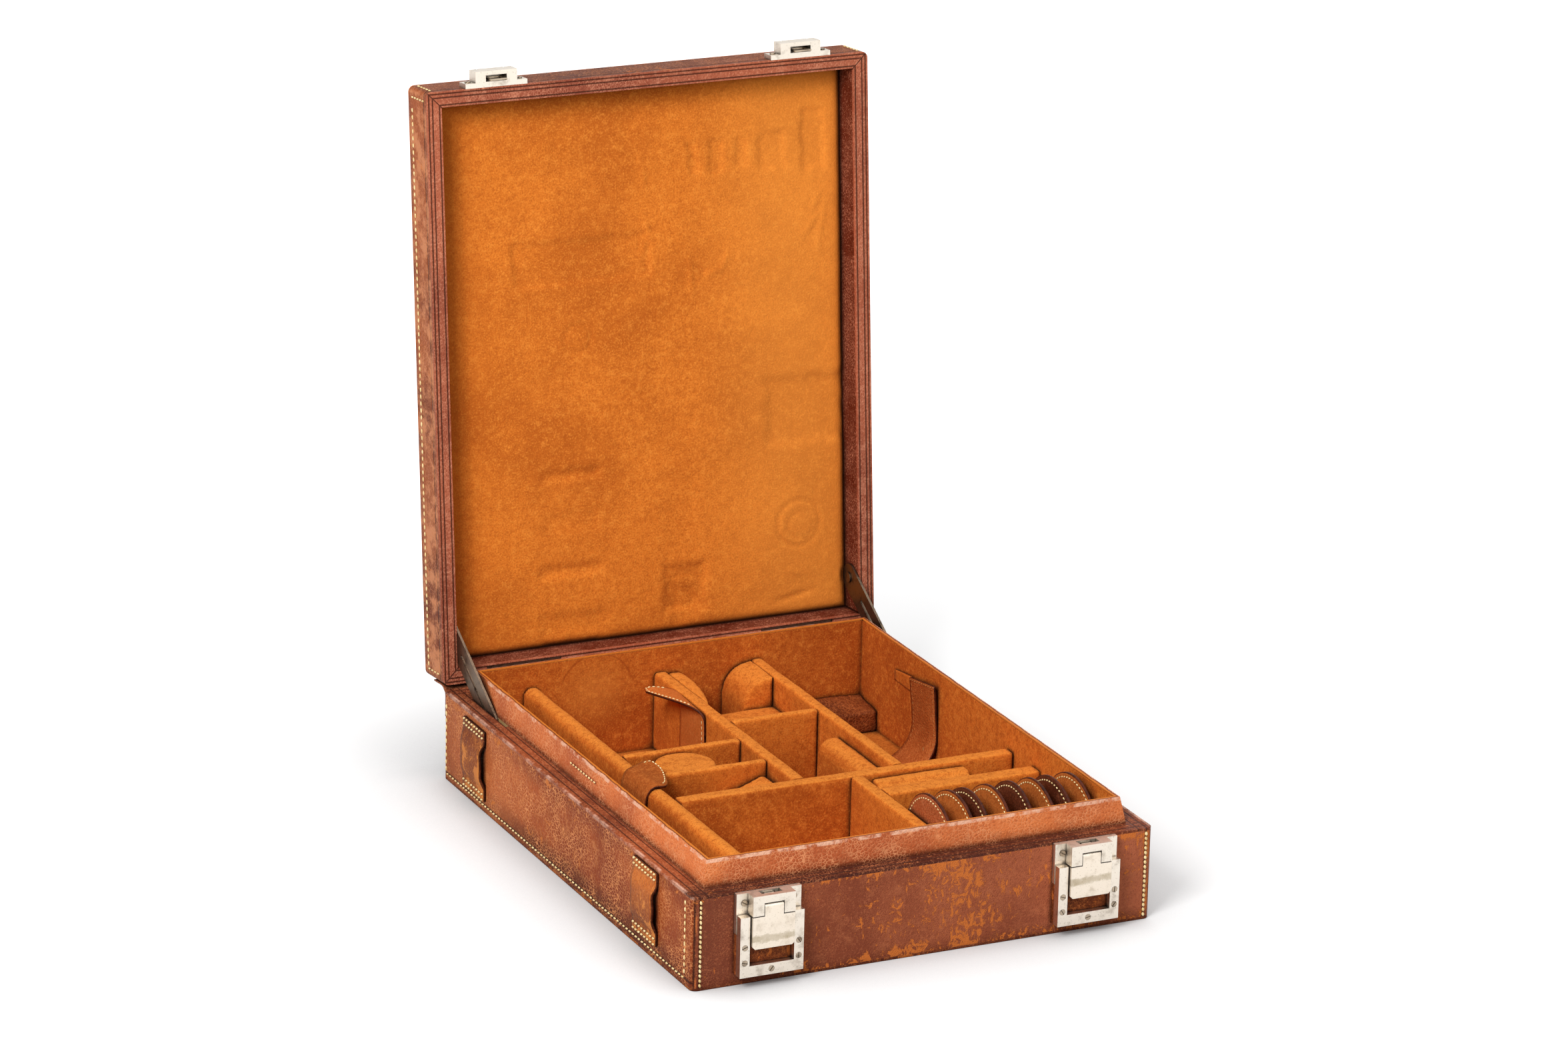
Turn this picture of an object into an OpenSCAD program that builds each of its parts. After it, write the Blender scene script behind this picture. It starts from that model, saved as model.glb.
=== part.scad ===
// Leather camera case with a fitted suede interior, shown open on its stays.
// Millimetres. +X is to the right, +Y is to the back, +Z is up.
// The origin is the centre of the face that the case stands on.
// Pieces of the lid are drawn closed, then turned about the hinge axis.

/* [Shell] */
// Width of the case from side to side
case_w = 300; // [285:1:330]
// Depth of the case from front to back
case_d = 376; // [366:1:400]
// Height of the base up to its ledge
base_h = 58; // [56:0.5:66]
// Depth of the closed lid above the ledge
lid_h = 30; // [28:0.5:38]
// Angle of the open lid above its closed place
lid_angle = 94.9; // [80:0.1:95]
// Thickness of the outer leather
leather_t = 1.6; // [1.4:0.1:1.8]
// Thickness of the wooden bottom and top boards
board_t = 4; // [3:0.5:5]
// Radius of the upright corners
corner_r = 4; // [2.5:0.5:6]
// Gap between the ledge and the closed lid's rim
lid_gap = 0.3; // [0.2:0.1:0.6]

/* [Lip and lining] */
// Width of the ledge around the lip
ledge_w = 12; // [12:0.5:14]
// Height of the lip above the ledge
lip_h = 16; // [14:0.5:17]
// How far the lip leans in from its foot to its top
lip_lean = 3; // [2:0.5:3.5]
// Width of the leather turned in over the lip's top edge
lip_turn = 2.6; // [2:0.2:3]
// Thickness of the leather turned over the lip's top edge
lip_cap_t = 1; // [0.8:0.1:1.2]
// Thickness of the wooden frame that stands inside the carcass and makes the lip
frame_t = 5.4; // [5:0.1:6]
// Thickness of the suede on the walls and the floor
suede_t = 0.8; // [0.6:0.1:1]

/* [Lid] */
// Width of the lid's rim at the sides, front and back
rim_w = 10; // [9.5:0.1:10.5]
// Depth of the padded panel below the rim
panel_depth = 19; // [18:0.5:20]
// Rise of the padded panel's middle above its edges
panel_crown = 1.2; // [0.5:0.1:1.5]

/* [Dividers] */
// Height of the dividers' tops above the floor the case stands on
divider_top = 57.5; // [54:0.5:60]
// Height of the rolled divider's top
roll_top = 59; // [56:0.5:62]
// Thickness of the rolled divider at the left
roll_t = 11.5; // [10:0.5:13]
// Place of the rolled divider's middle from side to side
roll_x = -98.2; // [-101:0.2:-97]
// Thickness of the middle divider
mid_t = 9; // [8:0.5:10]
// Place of the middle divider from side to side
mid_x = -10; // [-12:0.5:-8]
// Thickness of the right divider
right_t = 8; // [7:0.5:9]
// Place of the right divider from side to side
right_x = 57; // [55:0.5:58]
// Thickness of the front cross divider
front_cross_t = 10; // [9:0.5:11]
// Place of the front cross divider from front to back
front_cross_y = -39; // [-40:0.5:-38]
// Thickness of the thinner cross dividers
cross_t = 6; // [5.4:0.2:6.4]
// Place of the short cross divider from front to back
short_cross_y = 3; // [2:0.5:4]
// Place of the back cross divider from front to back
back_cross_y = 41; // [40:0.5:42]
// Place of the centre cross divider from front to back
centre_cross_y = 72; // [70:0.5:74]
// Thickness of the divider beside the filter bay
bay_t = 9; // [8:0.5:10]
// Place of the divider beside the filter bay from side to side
bay_x = 24.5; // [24:0.5:25]
// Thickness of the rail behind the filters
rail_t = 12; // [11:0.5:13]
// Place of the rail behind the filters from front to back
rail_y = -73; // [-74:0.5:-73]

/* [Filter pouches] */
// Outer radius of a round pouch
pouch_r = 34; // [32:0.5:34]
// Thickness of one pouch
pouch_t = 3.6; // [3:0.2:4]
// Share of the filter bay's free depth that lies in front of the pouches
pouch_forward = 0.21; // [0.1:0.01:0.5]
// Room between the divider beside the filter bay and the first pouch
pouch_first_room = 0.7; // [0.5:0.1:2]
// Room between the last pouch and the lip's right wall
pouch_last_room = 4.5; // [1:0.1:6]

/* [Pads] */
// Diameter of the round lens pad
lens_pad_d = 38.6; // [34:0.2:39]
// Distance of the lens pad's middle from the rolled divider's face
lens_pad_in = 31.45; // [28:0.05:34]
// Height of the round lens pad's top
lens_pad_top = 56; // [45:0.5:56.5]
// Reach of the half-round pad from the middle divider
half_round_reach = 10.5; // [8:0.5:12]
// Radius of the rounded front of the back pad
round_pad_r = 19; // [16:0.5:20]
// Depth of the back pad from front to back
round_pad_depth = 35.8; // [30:0.1:40]
// Height of the low pad in front of the back pad
low_pad_top = 38; // [30:0.5:45]
// Length of the sloping pad in the centre left well
slope_pad_len = 34; // [30:0.5:40]
// Height of the pad in the centre well
centre_pad_top = 50; // [45:0.5:54]
// Thickness of the pad in the centre well
centre_pad_t = 14; // [12:0.5:16]
// Length of the stepped pad
stepped_pad_len = 63; // [55:1:68]
// Height of the stepped pad's lower part
stepped_pad_top = 52; // [48:0.5:54]
// Height of the corner block at its back
corner_block_top = 24.5; // [20:0.5:30]
// Height of the corner block at its front
corner_block_front = 20; // [16:0.5:20]

/* [Keepers and tabs] */
// Width of a keeper loop on the left side
keeper_w = 33; // [28:0.5:34]
// Height of a keeper loop
keeper_h = 45.5; // [40:0.5:46]
// Room under a keeper loop for a strap
keeper_room = 2.6; // [2:0.1:3]
// Thickness of the keeper leather
keeper_t = 1.8; // [1.5:0.1:2]
// Thickness of the pull tabs and of the wall strap
tab_t = 1.4; // [1.2:0.1:1.6]
// Width of the wall strap from front to back
strap_w = 34; // [30:0.5:40]
// Radius of the wall strap's curve
strap_r = 24; // [20:0.5:28]
// Height of the wall strap's top at its front
strap_top = 66; // [60:0.5:70]
// How far the wall strap's top leans off the wall
strap_lean = 2.6; // [1:0.1:4]
// Width of the long pull tab
long_tab_w = 36.5; // [30:0.5:38]
// Width of the short pull tab
short_tab_w = 36; // [30:0.5:38]

/* [Latches] */
// Distance of each latch from the middle of the case
latch_x = 103.4; // [95:0.2:110]
// Width of a latch's back plate
latch_plate_w = 41.2; // [40:0.2:44]
// Thickness of the back plate and of the packing under the frame
latch_plate_t = 3.3; // [3:0.1:3.6]
// Height of the top of a latch below the ledge
latch_drop = 0.3; // [0.3:0.1:0.8]
// Height of a whole latch
latch_h = 50.3; // [49.5:0.1:51]
// Width of the latch block
latch_block_w = 27; // [26.4:0.2:28]
// Height of the latch block
latch_block_h = 12.3; // [12:0.1:12.6]
// How far the latch block stands out from the leather
latch_block_out = 11; // [10.8:0.1:11.4]
// Width of the frame around the flap
latch_frame_w = 40.6; // [40:0.2:43]
// Width of the frame's legs
latch_leg_w = 6.1; // [5.8:0.1:6.3]
// Thickness of the frame
latch_frame_t = 5.5; // [5:0.1:5.8]
// Width of the swinging flap
flap_w = 26.9; // [26:0.1:27.4]
// Thickness of the swinging flap
flap_t = 2.6; // [2.2:0.1:2.8]
// Height of the swinging flap below its seam
flap_h = 19.8; // [18:0.1:20.5]
// Width of the flap's tongue
tongue_w = 12; // [11:0.2:12.4]
// Radius of the flap's pin
latch_pin_r = 0.9; // [0.8:0.05:1]
// Running gap around the flap's pin
pin_gap = 0.05; // [0.03:0.01:0.08]
// Width of a catch on the lid
catch_w = 41.1; // [40:0.1:44]
// Width of the catch's block
catch_block_w = 27.7; // [27:0.1:29]
// How far the catch's block stands out from the lid
catch_out = 10; // [9.6:0.1:10.6]
// Height of the catch
catch_h = 10; // [9:0.1:11]
// Diameter of a latch screw's head
screw_head_d = 3.6; // [3:0.1:3.8]

/* [Stays and hinges] */
// Width of a stay
stay_w = 17.7; // [16:0.1:19]
// Thickness of a stay
stay_t = 1.5; // [1.2:0.1:1.7]
// Length of a stay from its rivet to its lower end
stay_len = 84; // [78:0.5:86]
// Slope of the open stay below the horizontal
stay_slope = 30.1; // [28:0.1:32]
// Radius of a hinge knuckle
knuckle_r = 2.4; // [2.2:0.1:2.6]
// Radius of a hinge pin
hinge_pin_r = 1.2; // [1:0.1:1.3]
// Length of a butt hinge
hinge_len = 50; // [40:5:60]
// Distance of each hinge from the middle of the case
hinge_x = 95; // [80:1:105]
// Distance of a stay's rivet in front of the hinge when closed
rivet_fore = 33.1; // [31:0.1:35]
// Height of a stay's rivet above the hinge when closed
rivet_up = 11.4; // [10:0.1:12]
// Radius of a stay's rivet
rivet_r = 2; // [1.6:0.1:2.4]

/* [Hidden] */
$fn = 48;

// Colours
red_leather = "#7a3a22";
tan_leather = "#a8643f";
suede = "#c8742a";
wood = "#b08d5e";
nickel = "#d8d4c8";
bronze = "#6b5a48";

// Shell
half_w = case_w / 2;
half_d = case_d / 2;
side_top = base_h - leather_t;
lip_foot_x = half_w - ledge_w;
lip_foot_y = half_d - ledge_w;
lip_top = base_h + lip_h;
frame_in_x = lip_foot_x - frame_t;
frame_in_y = lip_foot_y - frame_t;
lip_board_x = lip_foot_x - lip_lean - lip_cap_t;
lip_board_y = lip_foot_y - lip_lean - lip_cap_t;
lip_board_top = lip_top - lip_cap_t;
inner_x = frame_in_x - suede_t;
inner_y = frame_in_y - suede_t;
board_top = leather_t + board_t;
floor_top = board_top + suede_t;
far = 600;
tiny = 0.05;
fit = 0.1;

// Hinge
hinge_y = half_d + 1.3;
hinge_z = base_h + 1;
leaf_t = 1.2;
leaf_d = 10;
leaf_gap = 0.4;
knuckles = 5;
knuckle_gap = 0.3;
knuckle_step = hinge_len / knuckles;

// Lid, drawn closed
lid_rim = base_h + lid_gap;
lid_wall_low = lid_rim + leather_t;
lid_top = base_h + lid_h;
lid_side_top = lid_top - leather_t;
lid_board_low = lid_side_top - board_t;
lid_in_x = half_w - rim_w;
lid_in_y = half_d - rim_w;
lid_lining_t = 1;
panel_z = lid_rim + panel_depth;

// Stays, in the open place of the lid
stay_in = 0.3;
stay_x = lip_foot_x + stay_in;
rivet_y = hinge_y - rivet_fore;
rivet_z = hinge_z + rivet_up;
rivet_open_y = hinge_y - rivet_fore * cos(lid_angle) + rivet_up * sin(lid_angle);
rivet_open_z = hinge_z + rivet_fore * sin(lid_angle) + rivet_up * cos(lid_angle);
stay_slot_y = [hinge_y - 76.8, hinge_y - 22.8];
stay_slot_w = stay_in + stay_t + 0.4;
pocket_y = [hinge_y - 104.3, hinge_y - 19.3];
pocket_w = stay_in + stay_t + 1.4;
pocket_low = floor_top + 0.2;

// Latches: o is the distance in front of the leather, and heights are above the base's foot
latch_top = base_h - latch_drop;
latch_low = latch_top - latch_h;
block_low = latch_top - latch_block_h;
flap_seam = 0.6;
flap_top = block_low - flap_seam;
flap_low = flap_top - flap_h;
plate_low = flap_top - 11.8;
bar_h = 6.9;
frame_top = flap_top;
frame_out = latch_plate_t + latch_frame_t;
knuckle_flap_r = 2.1;
latch_pin_o = latch_block_out - knuckle_flap_r;
latch_pin_z = latch_top - 7.2;
notch_w = tongue_w + 0.8;
top_notch_w = 13.3;
top_notch_o = [2.5, 7.5];
cavity_top = latch_top - 1.4;
cavity_out = latch_block_out - 1.4;
claw_w = 6;
window_w = claw_w + 2;
mortise_h = 17;
striker_o = 4.5;
striker_t = 1;
striker_z = [latch_top - 3.5, latch_top - 2.3];
spring_o = striker_o + striker_t + 0.5;
spring_t = 0.5;
screw_r = 1;
screw_deep = 3.4;
head_t = 0.8;

// A rectangle with round corners, centred on the origin
module plan(w, d, r) {
  square([w - 2 * r, d], center = true);
  square([w, d - 2 * r], center = true);
  for (i = [-1, 1], j = [-1, 1])
    translate([i * (w / 2 - r), j * (d / 2 - r)]) circle(r);
}

// A block of the plan's outline, inset from the case's outer faces
module plan_block(inset, z0, z1) {
  translate([0, 0, z0]) linear_extrude(z1 - z0)
    plan(case_w - 2 * inset, case_d - 2 * inset, max(corner_r - inset, 0.5));
}

// A plain box between two corners
module span(a, b) {
  translate(a) cube(b - a);
}

// A centred rectangular block by its half sizes
module room(x, y, z0, z1) {
  span([-x, -y, z0], [x, y, z1]);
}

// One side of a ring, cut at 45 degrees through the corners: 0 front, 1 back, 2 left, 3 right
module side_only(side, z0, z1) {
  reach = 40;
  ox = half_w + reach;
  oy = half_d + reach;
  ix = half_w - reach;
  iy = half_d - reach;
  front = [[-ox, -oy], [ox, -oy], [ix, -iy], [-ix, -iy]];
  left = [[-ox, -oy], [-ix, -iy], [-ix, iy], [-ox, oy]];
  intersection() {
    children();
    translate([0, 0, z0]) linear_extrude(z1 - z0)
      mirror([0, side == 1 ? 1 : 0]) mirror([side == 3 ? 1 : 0, 0])
        polygon(side < 2 ? front : left);
  }
}

// The outer leather on one side
module side_leather(side, z0, z1) {
  side_only(side, z0, z1) difference() {
    plan_block(0, z0, z1);
    plan_block(leather_t, z0 - 1, z1 + 1);
  }
}

// Turns pieces that are drawn on the closed lid into the open lid's place
module opened() {
  translate([0, hinge_y, hinge_z]) rotate([-lid_angle, 0, 0])
    translate([0, -hinge_y, -hinge_z]) children();
}

// A mirror image for the left side
module flip(s) {
  mirror([s < 0 ? 1 : 0, 0, 0]) children();
}

// Places a latch's or a catch's pieces: X across, Y away from the case, Z up
module at_latch(s) {
  translate([s * latch_x, -half_d, 0]) mirror([0, 1, 0]) children();
}

// A box on a latch, across by its half width, by its distances out and its heights
module latch_box(w, o0, o1, z0, z1) {
  span([-w / 2, o0, z0], [w / 2, o1, z1]);
}

// A round bar that points away from the case
module out_rod(x, z, r, o0, o1) {
  translate([x, o0, z]) rotate([-90, 0, 0]) cylinder(r = r, h = o1 - o0);
}

// Places of the frame's five screws, and of the two screws of the back plate
frame_screws = [
  for (s = [-1, 1], z = [latch_low + 18.6, latch_low + 9.1]) [s * 17.2, z],
  [0, latch_low + bar_h / 2]
];
plate_screws = [for (s = [-1, 1]) [s * (latch_plate_w / 2 - 4.8), latch_top - 5.9]];
catch_screws = [for (s = [-1, 1]) [s * (catch_w + catch_block_w) / 4, lid_rim + catch_h / 2]];

// Screw holes through everything on a latch
module latch_holes() {
  for (p = concat(frame_screws, plate_screws))
    out_rod(p[0], p[1], screw_r + fit, -screw_deep - leather_t, frame_out + 1);
}

// A screw with a slotted head: its head starts at o0 and ends at o1
module slot_screw(p, o0, o1, deep, turn) {
  difference() {
    union() {
      out_rod(p[0], p[1], screw_head_d / 2, o0, o1);
      out_rod(p[0], p[1], screw_r, -deep, o0);
    }
    translate([p[0], o1, p[1]]) rotate([0, turn, 0])
      cube([screw_head_d + 1, head_t, 0.5], center = true);
  }
}

// Room for the hinge leaves and their knuckles in what lies around them
module hinge_room(z0, z1, with_leaf) {
  for (s = [-1, 1])
    translate([s * hinge_x - hinge_len / 2 - leaf_gap, 0, 0]) {
      span([0, hinge_y - knuckle_r - leaf_gap, z0], [hinge_len + 2 * leaf_gap, far, z1]);
      if (with_leaf)
        span([0, hinge_y - leaf_d - leaf_gap, z0], [hinge_len + 2 * leaf_gap, far, z1]);
    }
}

// Screw places on a hinge leaf
hinge_screw_x = [-1, 0, 1] * (hinge_len / 2 - 7);
hinge_screw_y = hinge_y - leaf_d + 3.2;
hinge_head_r = 1.7;
hinge_screw_r = 0.9;

// Holes for the hinge screws
module hinge_screw_holes(z0, z1) {
  for (s = [-1, 1], x = hinge_screw_x)
    translate([s * hinge_x + x, hinge_screw_y, z0])
      cylinder(r = hinge_screw_r + fit, h = z1 - z0);
}

// The wooden box of the base, with a pocket for each stay
module base_carcass() {
  color(wood) difference() {
    plan_block(leather_t, leather_t, side_top);
    room(lip_foot_x, lip_foot_y, board_top, far);
    for (s = [-1, 1]) flip(s)
      span([lip_foot_x - 1, pocket_y[0], pocket_low], [lip_foot_x + pocket_w, pocket_y[1], far]);
    for (s = [-1, 1]) at_latch(s) latch_holes();
    hinge_screw_holes(side_top - screw_deep - 1, far);
  }
}

// The front leather, with a slot behind each latch for its claw
module base_front_leather() {
  color(red_leather) difference() {
    side_leather(0, leather_t, side_top);
    for (s = [-1, 1]) at_latch(s) {
      latch_holes();
      latch_box(window_w, -leather_t - 1, 1, latch_top - mortise_h, side_top + 1);
    }
  }
}

// The back leather
module base_back_leather() {
  color(red_leather) side_leather(1, leather_t, side_top);
}

// The left leather
module base_left_leather() {
  color(red_leather) side_leather(2, leather_t, side_top);
}

// The right leather
module base_right_leather() {
  color(red_leather) side_leather(3, leather_t, side_top);
}

// The leather that the case stands on
module base_bottom_leather() {
  color(red_leather) plan_block(0, 0, leather_t);
}

// The leather on the ledge, with slots for the stays and room for the hinges
module ledge_leather() {
  color(red_leather) difference() {
    plan_block(0, side_top, base_h);
    room(lip_foot_x, lip_foot_y, side_top - 1, base_h + 1);
    for (s = [-1, 1]) flip(s)
      span([lip_foot_x - 1, stay_slot_y[0], side_top - 1],
        [lip_foot_x + stay_slot_w, stay_slot_y[1], base_h + 1]);
    hinge_room(side_top - 1, base_h + 1, true);
  }
}

// The wooden frame inside the carcass, which stands above the ledge as the lip
module inner_frame() {
  color(wood) difference() {
    union() {
      room(lip_foot_x, lip_foot_y, board_top, base_h);
      room(lip_board_x, lip_board_y, base_h, lip_board_top);
    }
    room(frame_in_x, frame_in_y, board_top - 1, far);
  }
}

// A block whose four sides lean in from its foot to its top
module leaning_block(x, y, z0, z1, lean) {
  side = [[-x, z0], [x, z0], [x - lean, z1], [lean - x, z1]];
  front = [[-y, z0], [y, z0], [y - lean, z1], [lean - y, z1]];
  intersection() {
    translate([0, y, 0]) rotate([90, 0, 0]) linear_extrude(2 * y) polygon(side);
    translate([-x, 0, 0]) rotate([90, 0, 90]) linear_extrude(2 * x) polygon(front);
  }
}

// The lighter leather on the lip, turned in over its top edge
module lip_leather() {
  color(tan_leather) difference() {
    leaning_block(lip_foot_x, lip_foot_y, base_h, lip_top, lip_lean);
    room(lip_board_x, lip_board_y, base_h - 1, lip_board_top);
    room(lip_foot_x - lip_lean - lip_turn, lip_foot_y - lip_lean - lip_turn, base_h - 1, far);
  }
}

// The suede on the inside of the walls
module base_lining() {
  color(suede) difference() {
    room(frame_in_x, frame_in_y, board_top, lip_board_top);
    room(inner_x, inner_y, board_top - 1, far);
  }
}

// The suede on the floor
module base_floor_lining() {
  color(suede) room(inner_x, inner_y, board_top, floor_top);
}

// A standing board that runs along Y, with a rounded top
module board_y(x, y0, y1, t, top, r) {
  translate([x, y1, 0]) rotate([90, 0, 0]) linear_extrude(y1 - y0) {
    translate([-t / 2, floor_top]) square([t, top - r - floor_top]);
    translate([r - t / 2, floor_top]) square([t - 2 * r, top - floor_top]);
    for (s = [-1, 1]) translate([s * (t / 2 - r), top - r]) circle(r);
  }
}

// A standing board that runs along X, with a rounded top
module board_x(y, x0, x1, t, top, r) {
  translate([x0, y, 0]) rotate([90, 0, 90]) linear_extrude(x1 - x0) {
    translate([-t / 2, floor_top]) square([t, top - r - floor_top]);
    translate([r - t / 2, floor_top]) square([t - 2 * r, top - floor_top]);
    for (s = [-1, 1]) translate([s * (t / 2 - r), top - r]) circle(r);
  }
}

// Faces of the dividers, which the cross dividers and the pads meet
roll_face = roll_x + roll_t / 2;
mid_left = mid_x - mid_t / 2;
mid_right = mid_x + mid_t / 2;
right_left = right_x - right_t / 2;
right_right = right_x + right_t / 2;
cross_back = front_cross_y + front_cross_t / 2;
cross_front = front_cross_y - front_cross_t / 2;
bay_right = bay_x + bay_t / 2;
rail_back = rail_y + rail_t / 2;
rail_front = rail_y - rail_t / 2;
top_r = 1.6;

// The divider at the left with a round top, from the front to the back
module rolled_divider() {
  color(suede) board_y(roll_x, -inner_y, inner_y, roll_t, roll_top, roll_t / 2 - 0.1);
}

// The long divider left of the middle
module middle_divider() {
  color(suede) board_y(mid_x, cross_back, inner_y, mid_t, divider_top, top_r);
}

// The long divider at the right
module right_divider() {
  color(suede) board_y(right_x, cross_back, inner_y, right_t, divider_top, top_r);
}

// The thick divider across the front
module front_cross_divider() {
  color(suede) board_x(front_cross_y, roll_face, inner_x, front_cross_t, divider_top, top_r);
}

// The cross divider behind the lens pad
module back_cross_divider() {
  color(suede) board_x(back_cross_y, roll_face, mid_left, cross_t, divider_top, top_r);
}

// The cross divider in front of the lens pad
module short_cross_divider() {
  color(suede) board_x(short_cross_y, roll_face, mid_left, cross_t, divider_top, top_r);
}

// The cross divider between the middle and the right divider
module centre_cross_divider() {
  color(suede) board_x(centre_cross_y, mid_right, right_left, cross_t, divider_top, top_r);
}

// The divider at the left of the filter bay
module filter_bay_divider() {
  color(suede) board_y(bay_x, -inner_y, cross_front, bay_t, divider_top, top_r);
}

// The two-layer rail behind the filters
module filter_rail() {
  groove = 1;
  color(suede) difference() {
    board_x(rail_y, bay_right, inner_x, rail_t, divider_top, top_r);
    translate([bay_right - 1, rail_y - groove / 2, divider_top - 3]) cube([far, groove, far]);
  }
}

// The round pad between the cross dividers, cut straight at its front
module lens_rest_pad() {
  back = back_cross_y - cross_t / 2;
  front = short_cross_y + cross_t / 2;
  r = lens_pad_d / 2;
  color(suede) intersection() {
    translate([roll_face + lens_pad_in, back - r - tiny, floor_top]) {
      cylinder(r = r, h = lens_pad_top - floor_top - top_r);
      cylinder(r = r - top_r, h = lens_pad_top - floor_top);
      translate([0, 0, lens_pad_top - floor_top - top_r]) rotate_extrude()
        translate([r - top_r, 0]) intersection() {
          circle(top_r);
          square(top_r * 2);
        }
    }
    span([roll_face, front + tiny, 0], [mid_left, back, far]);
  }
}

// The small sloping pad in the corner in front of the short cross divider
module small_well_pad() {
  y1 = short_cross_y - cross_t / 2 - tiny;
  x1 = mid_left - tiny;
  x0 = x1 - slope_pad_len;
  peak = divider_top - 8;
  fall = 11.5;
  edge = 4;
  profile = [[x0, floor_top], [x1, floor_top], [x1, peak - edge], [x1 - edge, peak],
    [x0, peak - fall]];
  color(suede) translate([0, y1, 0]) rotate([90, 0, 0])
    linear_extrude(y1 - cross_back - tiny) polygon(profile);
}

// The pad with a bowed face on the right of the middle divider
module half_round_pad() {
  chord = 100;
  from_back = 14;
  r = (chord * chord / 4 + half_round_reach * half_round_reach) / (2 * half_round_reach);
  color(suede) intersection() {
    translate([mid_right + half_round_reach - r, inner_y - from_back, floor_top])
      cylinder(r = r, h = divider_top - 1 - floor_top, $fn = 96);
    span([mid_right + tiny, 0, 0], [half_w, inner_y - tiny, far]);
  }
}

// A pad against the right divider's left face, with a rounded upper edge
module edge_pad(w, y0, y1, top, r) {
  x1 = right_left - tiny;
  color(suede) translate([x1 - w, y1, 0]) rotate([90, 0, 0]) linear_extrude(y1 - y0) {
    translate([0, floor_top]) square([w, top - r - floor_top]);
    translate([r, floor_top]) square([w - r, top - floor_top]);
    intersection() {
      translate([r, top - r]) circle(r);
      square([r + tiny, top]);
    }
  }
}

// The large pad with the rounded front in the back middle bay
module round_fronted_pad() {
  edge_pad(round_pad_r + 1, inner_y - round_pad_depth, inner_y - tiny, divider_top - 0.5,
    round_pad_r);
}

// The low pad on the floor of the back middle bay
module back_well_pad() {
  y1 = inner_y - round_pad_depth - fit;
  depth = 26;
  color(suede) span([mid_right + half_round_reach + 1, y1 - depth, floor_top],
    [right_left - tiny, y1, low_pad_top]);
}

// The pad along the right divider in the centre well
module centre_well_pad() {
  from_cross = 28;
  edge_r = 9;
  edge_pad(centre_pad_t, cross_back + tiny, centre_cross_y - cross_t / 2 - from_cross,
    centre_pad_top, edge_r);
}

// The stepped pad between the front cross divider and the rail
module stepped_pad() {
  x0 = bay_right + 5;
  x1 = x0 + stepped_pad_len;
  y0 = rail_back + tiny;
  y1 = cross_front - tiny;
  top = stepped_pad_top;
  step_w = 8;
  step_h = 2.5;
  color(suede) {
    span([x0, y0, floor_top], [x1, y1, top]);
    span([x0 + tiny, y1 - step_w, top - tiny], [x1 - tiny, y1, top + step_h]);
  }
}

// The sloping leather block in the back right corner
module corner_block() {
  d = 25.8;
  profile = [[-d, floor_top], [0, floor_top], [0, corner_block_top], [-d, corner_block_front]];
  color(red_leather) translate([right_right + tiny, inner_y - tiny, 0]) rotate([90, 0, 90])
    linear_extrude(inner_x - right_right - 2 * tiny) polygon(profile);
}

// The leather cradle that leans off the right wall and curves down to the floor
module wall_strap() {
  from_back = 77.3;
  back_drop = 5;
  y1 = inner_y - from_back;
  y0 = y1 - strap_w;
  z = floor_top + strap_r;
  x = inner_x - tiny;
  lean = [[-tab_t, z], [0, z], [-strap_lean, strap_top], [-strap_lean - tab_t, strap_top]];
  slant = [[y0, 0], [y1, 0], [y1, strap_top - back_drop], [y0, strap_top]];
  color(tan_leather) intersection() {
    translate([x, y1, 0]) rotate([90, 0, 0]) linear_extrude(strap_w) {
      polygon(lean);
      translate([-strap_r, z]) difference() {
        circle(strap_r, $fn = 72);
        circle(strap_r - tab_t, $fn = 72);
        translate([-far, 0]) square([2 * far, far]);
        translate([-far, -far]) square([far, 2 * far]);
      }
    }
    rotate([90, 0, 90]) linear_extrude(half_w) polygon(slant);
  }
}

// The pull tab on the middle divider's left face
module long_pull_tab() {
  x = mid_left - tiny;
  top = divider_top + tiny + tab_t;
  from_back = 43.8;
  y1 = inner_y - from_back;
  y0 = y1 - long_tab_w;
  foot = floor_top + 5.6;
  tuck = 12;
  tongue = [[0, 0], [0, long_tab_w], [-12, long_tab_w + 13], [-19, long_tab_w + 13.5],
    [-22, long_tab_w + 10], [-19, long_tab_w + 2], [-10, long_tab_w / 2]];
  color(tan_leather) {
    span([x - tab_t, y0, foot], [x, y1, top]);
    translate([x, y0, top - tab_t]) linear_extrude(tab_t) polygon(tongue);
    translate([x - 1, y0, top - tab_t]) cube([1 + mid_t * 0.4, long_tab_w - tuck, tab_t]);
  }
}

// Points of an arc about the origin, by its radius, its two angles and its count of steps
function arc(r, a0, a1, n) = [for (i = [0:n]) let (a = a0 + (a1 - a0) * i / n) r * [cos(a), sin(a)]];

// The pull tab that lies over the rolled divider
module short_pull_tab() {
  r = roll_t / 2 + fit;
  y1 = short_cross_y + 11;
  leg = 14;
  tongue = 13;
  a = 88;
  along = tongue * [sin(a), -cos(a)];
  over = arc(r + tab_t, 180, a, 16);
  under = arc(r, a, 180, 16);
  outline = concat([[-r - tab_t, -leg]], over, [over[16] + along], [under[0] + along], under,
    [[-r, -leg]]);
  color(tan_leather) translate([roll_x, y1, roll_top - roll_t / 2]) rotate([90, 0, 0])
    linear_extrude(short_tab_w) polygon(outline);
}

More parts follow.
